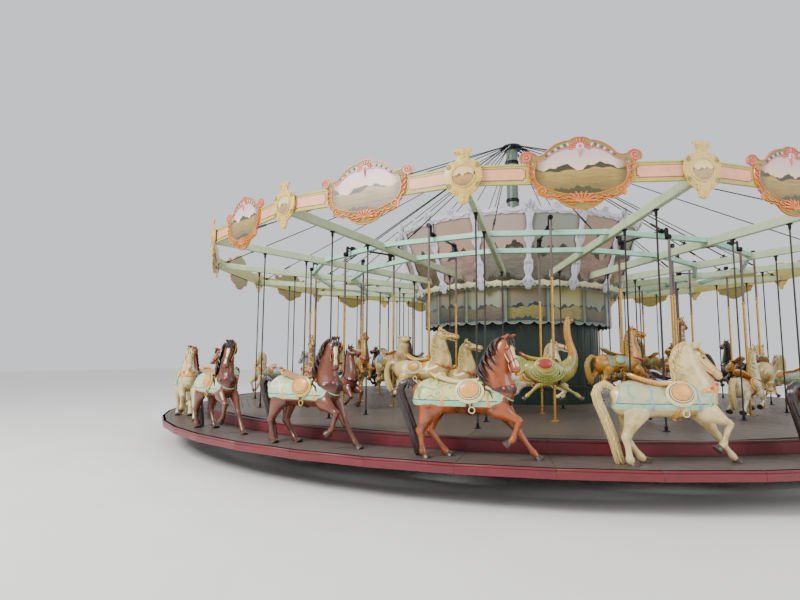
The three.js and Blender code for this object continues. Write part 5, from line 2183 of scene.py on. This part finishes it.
    def saddle(self) -> None:
        """Adds the seat from cantle to pommel, the rolled cantle, the flaps and the stirrups."""
        bench, saddle = self.bench, self.form.saddle
        side = self.form.spine.frame_at(0.36)[4]
        widths = (0.03, 0.085, 0.118, 0.128, 0.105, 0.065, 0.03)
        depths = (0.008, 0.022, 0.03, 0.032, 0.03, 0.026, 0.012)
        seat = [(x * CM, z * CM) for x, z in saddle.seat]
        bench.tube([(x, 0, z, deep, wide, 0.1) for (x, z), deep, wide in zip(seat, depths, widths)],
            Part.SADDLE, 12, 3)
        (x0, z0), (x1, z1) = seat[:2]
        arc = [(x1 + 0.03, -0.105, z1 - 0.02, 0.012, 0.012), (x0 + 0.01, -0.06, z0 + 0.012, 0.016, 0.016)]
        back = [(x, -y, z, deep, wide) for x, y, z, deep, wide in reversed(arc)]
        roll = [*arc, (x0 - 0.015, 0, z0 + 0.022, 0.018, 0.018), *back]
        bench.tube(roll, Part.FLAP, 8, 3, side=(0, 0, 1))
        x, z, reach, drop = (size * CM for size in (*saddle.flap, *saddle.reach))
        for sign in (-1, 1):
            lean = swung("X", sign * 0.2)
            pad = [(0, -0.2), (1, -0.1), (1, 0.05), (0.9, 0.45), (0.6, 0.85), (0, 1)]
            for part, size, proud in ((Part.TRIM, 1.0, 0.0), (Part.LINING, 0.86, 0.005),
                    (Part.TRIM, 0.82, 0.007), (Part.LINING, 0.74, 0.01), (Part.FLAP, 0.7, 0.012)):
                at = (x, sign * (side + 0.002 + proud), z + (1 - size) * drop * 0.45)
                spot = Matrix.Translation(at) @ lean @ swung("X", -sign * pi / 2)
                bench.turned(pad, part, 28, spot @ Matrix.Diagonal((reach * size, drop * size, 0.022, 1)))
            if self.kind is Kind.OSTRICH:
                continue
            ahead, hang, out, ring = x + 0.03, z - drop * 0.85, sign * (side + 0.03), 0.034
            bench.tube([(ahead, out - sign * 0.004, hang + 0.05, 0.01, 0.004),
                (ahead, out, hang - 0.06, 0.01, 0.004)], Part.STRAP, 6)
            angles = [pi * i / 5 for i in range(11)]
            stirrup = [
                (ahead + ring * cos(a), out, hang - 0.088 + ring * sin(a), 0.006, 0.009) for a in angles]
            bench.tube(stirrup, Part.TRIM, 6)


JUMPERS = {
    "ostrich": (Kind.OSTRICH, Livery(
        OSTRICH_COAT, WING_GREEN, TEAL_CLOTH, GILT, GILT, GILT, RED, DARK, YELLOW_GOLD, NECK_GOLD)),
    "giraffe": (Kind.GIRAFFE, Livery(GIRAFFE_COAT, BROWN_HAIR, MINT_CLOTH, GILT, PEACH, TAN, PEACH, RED)),
    "bear": (Kind.BEAR, Livery(BEAR_COAT, BROWN_HAIR, BLUE_CLOTH, CREAM_EDGE, RED, TAN, TEAL_CLOTH, RED)),
    "bay": (Kind.HORSE, Livery(
        BAY_COAT, DARK_HAIR, BLUE_CLOTH, SILVER, SILVER, DARK, SILVER, DARK, SILVER)),
    "white": (Kind.HORSE, Livery(WHITE_COAT, CREAM_HAIR, RED_CLOTH, GILT, RED, TAN, PEACH, RED)),
    "black": (Kind.HORSE, Livery(BLACK_COAT, DARK_HAIR, RED_CLOTH, GILT, GILT, TAN, YELLOW_CLOTH, RED)),
    "amber": (Kind.HORSE, Livery(
        AMBER_COAT, GOLD_HAIR, TEAL_CLOTH, BLUE_BAND, GILT, TAN, MINT_HEM, RED, GILT, AMBER_COAT)),
    "cream": (Kind.HORSE, Livery(
        CREAM_COAT, CREAM_HAIR, YELLOW_CLOTH, CREAM_EDGE, TAN, YELLOW_GOLD, YELLOW_CLOTH, TAN, CREAM_EDGE)),
    "chestnut": (Kind.HORSE, Livery(CHESTNUT_COAT, BROWN_HAIR, MINT_CLOTH, GILT, DARK, DARK, PEACH, DARK)),
}
HERDS = {
    "outer": "ostrich bay white bear black giraffe amber cream "
             "ostrich chestnut bear white black giraffe bay cream",
    "inner": "white amber giraffe chestnut ostrich cream bear bay "
             "white giraffe chestnut black ostrich amber bear cream",
}


@dataclass
class Figure:
    """A carved figure to be copied, and what each slot of its mesh is."""

    mesh: Mesh
    parts: list[Part]

    def wearing(self, livery: Livery, place: Matrix) -> Mesh:
        """A copy in its place and colours.

        Args:
            livery: The colours it wears.
            place: Where it goes.

        Returns:
            The copy.
        """
        copy = self.mesh.copy()
        for slot, part in enumerate(self.parts):
            copy.materials[slot] = livery.finish_of(part).material
        copy.transform(place)
        return copy


@dataclass
class Menagerie:
    """Every animal: two rows of jumpers on poles, and the standing row on the outer step."""

    rows: tuple[tuple[str, float, float, float], ...] = (("outer", 5.1, 1.27, 1.0), ("inner", 3.9, 1.4, 0.96))
    throw: float = 0.13
    crank: float = 3.715
    pole_bottom: float = 0.38
    sleeve_top: float = 2.75
    pole: float = 0.021
    pin: tuple[float, float] = (0.042, 0.03)
    standers: int = 22
    stander_radius: float = 7.6
    stander_start: float = radians(0.9)
    stander_barrel: float = 1.15

    def build(self) -> None:
        """Stands the jumpers on their cranks and the standing horses on the outer deck."""
        for row, radius, barrel, scale in self.rows:
            herd = [JUMPERS[word] for word in HERDS[row].split()]
            figures = {kind: self.jumper(kind, barrel, scale) for kind in dict(herd)}
            for bay, (kind, livery) in enumerate(herd):
                sign = 1 if outer_is_up(bay) == (row == "outer") else -1
                turn = swung("Z", (bay + 0.5) * STEP)
                place = turn @ shifted(0, -radius, sign * self.throw)
                body = "high_jumpers" if sign > 0 else "low_jumpers"
                install(f"{row}_{kind.value}_{bay + 1:02d}", figures[kind].wearing(livery, place),
                    body, [f"{row}_jumper_{bay + 1:02d}"])
        benches = {kind: Carver(kind).carve() for kind in (Kind.STANDER, Kind.TURNED)}
        horses = {kind: Figure(bench.mesh(kind.value), bench.finishes) for kind, bench in benches.items()}
        around = len(STANDER_LIVERIES)
        liveries = [STANDER_LIVERIES[number % around] for number in range(self.standers - 1)]
        for number, livery in enumerate([*liveries, BAY_STANDER]):
            kind = Kind.STANDER if livery is IVORY_STANDER else Kind.TURNED
            turn = swung("Z", self.stander_start + 2 * pi * number / self.standers)
            place = turn @ shifted(0, -self.stander_radius, self.stander_barrel)
            mesh = horses[kind].wearing(livery, place)
            install(f"standing_horse_{number + 1:02d}", mesh, "turning_frame")

    def jumper(self, kind: Kind, barrel: float, scale: float) -> Figure:
        """Makes a jumper at half stroke, with its pole through it.

        Args:
            kind: Which animal it is.
            barrel: The height of the middle of its barrel.
            scale: Its size against the carving's.

        Returns:
            The figure.
        """
        bench = Carver(kind).carve()
        figure = bench.bm.verts[:]
        bmesh.ops.scale(bench.bm, vec=(scale,) * 3, verts=figure)
        bmesh.ops.translate(bench.bm, vec=(0, 0, barrel), verts=figure)
        self.pole_on(bench, barrel)
        return Figure(bench.mesh(kind.value), bench.finishes)

    def pole_on(self, bench: Workbench, barrel: float) -> None:
        """Adds the pole with its brass sleeve and the bearing at its head, at half stroke.

        Args:
            bench: The bench of the jumper.
            barrel: The height of the middle of its barrel.
        """
        head = self.crank
        bench.rod((0, 0, self.sleeve_top), (0, 0, head), self.pole, Part.SHAFT, 12)
        bench.rod((0, 0, self.pole_bottom), (0, 0, self.sleeve_top), self.pole, Part.POLE, 16)
        for z in (barrel + 0.15, barrel - 0.24, self.sleeve_top - 0.03):
            bench.turned([(0, 0), (0.026, 0), (0.03, 0.012), (0.026, 0.03), (0, 0.03)],
                Part.POLE, 12, shifted(0, 0, z))
        radius, half = self.pin
        spot = shifted(0, 0, head) @ swung("X", pi / 2)
        rim = [(0, 0.006), (0.019, 0.006), (0.022, 0), (radius - 0.006, 0), (radius, 0.006)]
        bench.turned([*[(x, inset - half) for x, inset in rim],
            *[(x, half - inset) for x, inset in reversed(rim)]], Part.BEARING, 16, spot)


@dataclass
class Studio:
    """The floor, the lights and the camera, none of which belong to the carousel."""

    eye: tuple[float, float, float] = (1.139, -13.797, 1.561)
    yaw: float = radians(16.72)
    pitch: float = radians(6.35)
    roll: float = radians(0.33)
    lens: float = 24.4
    sensor: float = 36.0
    floor: float = 60.0

    def build(self) -> None:
        """Sets up the camera, the floor and the lights."""
        self.set_camera()
        self.lay_floor()
        self.light()

    def set_camera(self) -> None:
        """Puts the camera at the photograph's viewpoint."""
        data = bpy.data.cameras.new("camera")
        data.lens = self.lens
        data.sensor_width = self.sensor
        data.clip_end = 200
        camera = bpy.data.objects.new("camera", data)
        turn = (swung("Z", self.yaw) @ swung("X", pi / 2 + self.pitch) @ swung("Z", self.roll))
        camera.matrix_world = Matrix.Translation(self.eye) @ turn
        bpy.context.scene.collection.objects.link(camera)
        bpy.context.scene.camera = camera

    def lay_floor(self) -> None:
        """Lays the pale floor."""
        bm = bmesh.new()
        bmesh.ops.create_grid(bm, x_segments=1, y_segments=1, size=self.floor)
        mesh = bpy.data.meshes.new("studio_floor")
        bm.to_mesh(mesh)
        bm.free()
        mesh.materials.append(StudioFloor("studio_floor").material)
        floor = bpy.data.objects.new("studio_floor", mesh)
        bpy.context.scene.collection.objects.link(floor)

    def light(self) -> None:
        """Hangs three broad lamps and lights the surroundings softly."""
        world = bpy.data.worlds.new("studio")
        world.use_nodes = True
        background = world.node_tree.nodes["Background"]
        background.inputs["Color"].default_value = tint(0xF1F3F6)
        background.inputs["Strength"].default_value = 1.0
        bpy.context.scene.world = world
        for name, spot, aim, size, power in (
            ("key", (-9, -16, 11), (0, 0, 2.5), 6.0, 3000.0),
            ("fill", (14, -13, 7), (0, 0, 2.0), 8.0, 900.0),
            ("back", (3, 17, 12), (0, 0, 3.0), 9.0, 1500.0),
        ):
            data = bpy.data.lights.new(name, "AREA")
            data.size = size
            data.energy = power
            lamp = bpy.data.objects.new(name, data)
            away = Vector(aim) - Vector(spot)
            lamp.matrix_world = Matrix.Translation(spot) @ away.to_track_quat("-Z", "Y").to_matrix().to_4x4()
            bpy.context.scene.collection.objects.link(lamp)


def main() -> None:
    """Builds the studio, then each assembly of the carousel in turn."""
    logging.basicConfig(level=logging.INFO, format="%(name)s %(message)s")
    order = (Studio, Centre, Sweeps, CrankFrame, RoundingBoards, Stays, Drum, Skirt, Platform, Menagerie)
    for assembly in order:
        LOG.info("building %s", assembly.__name__)
        assembly().build()


if __name__ == "__main__":
    main()
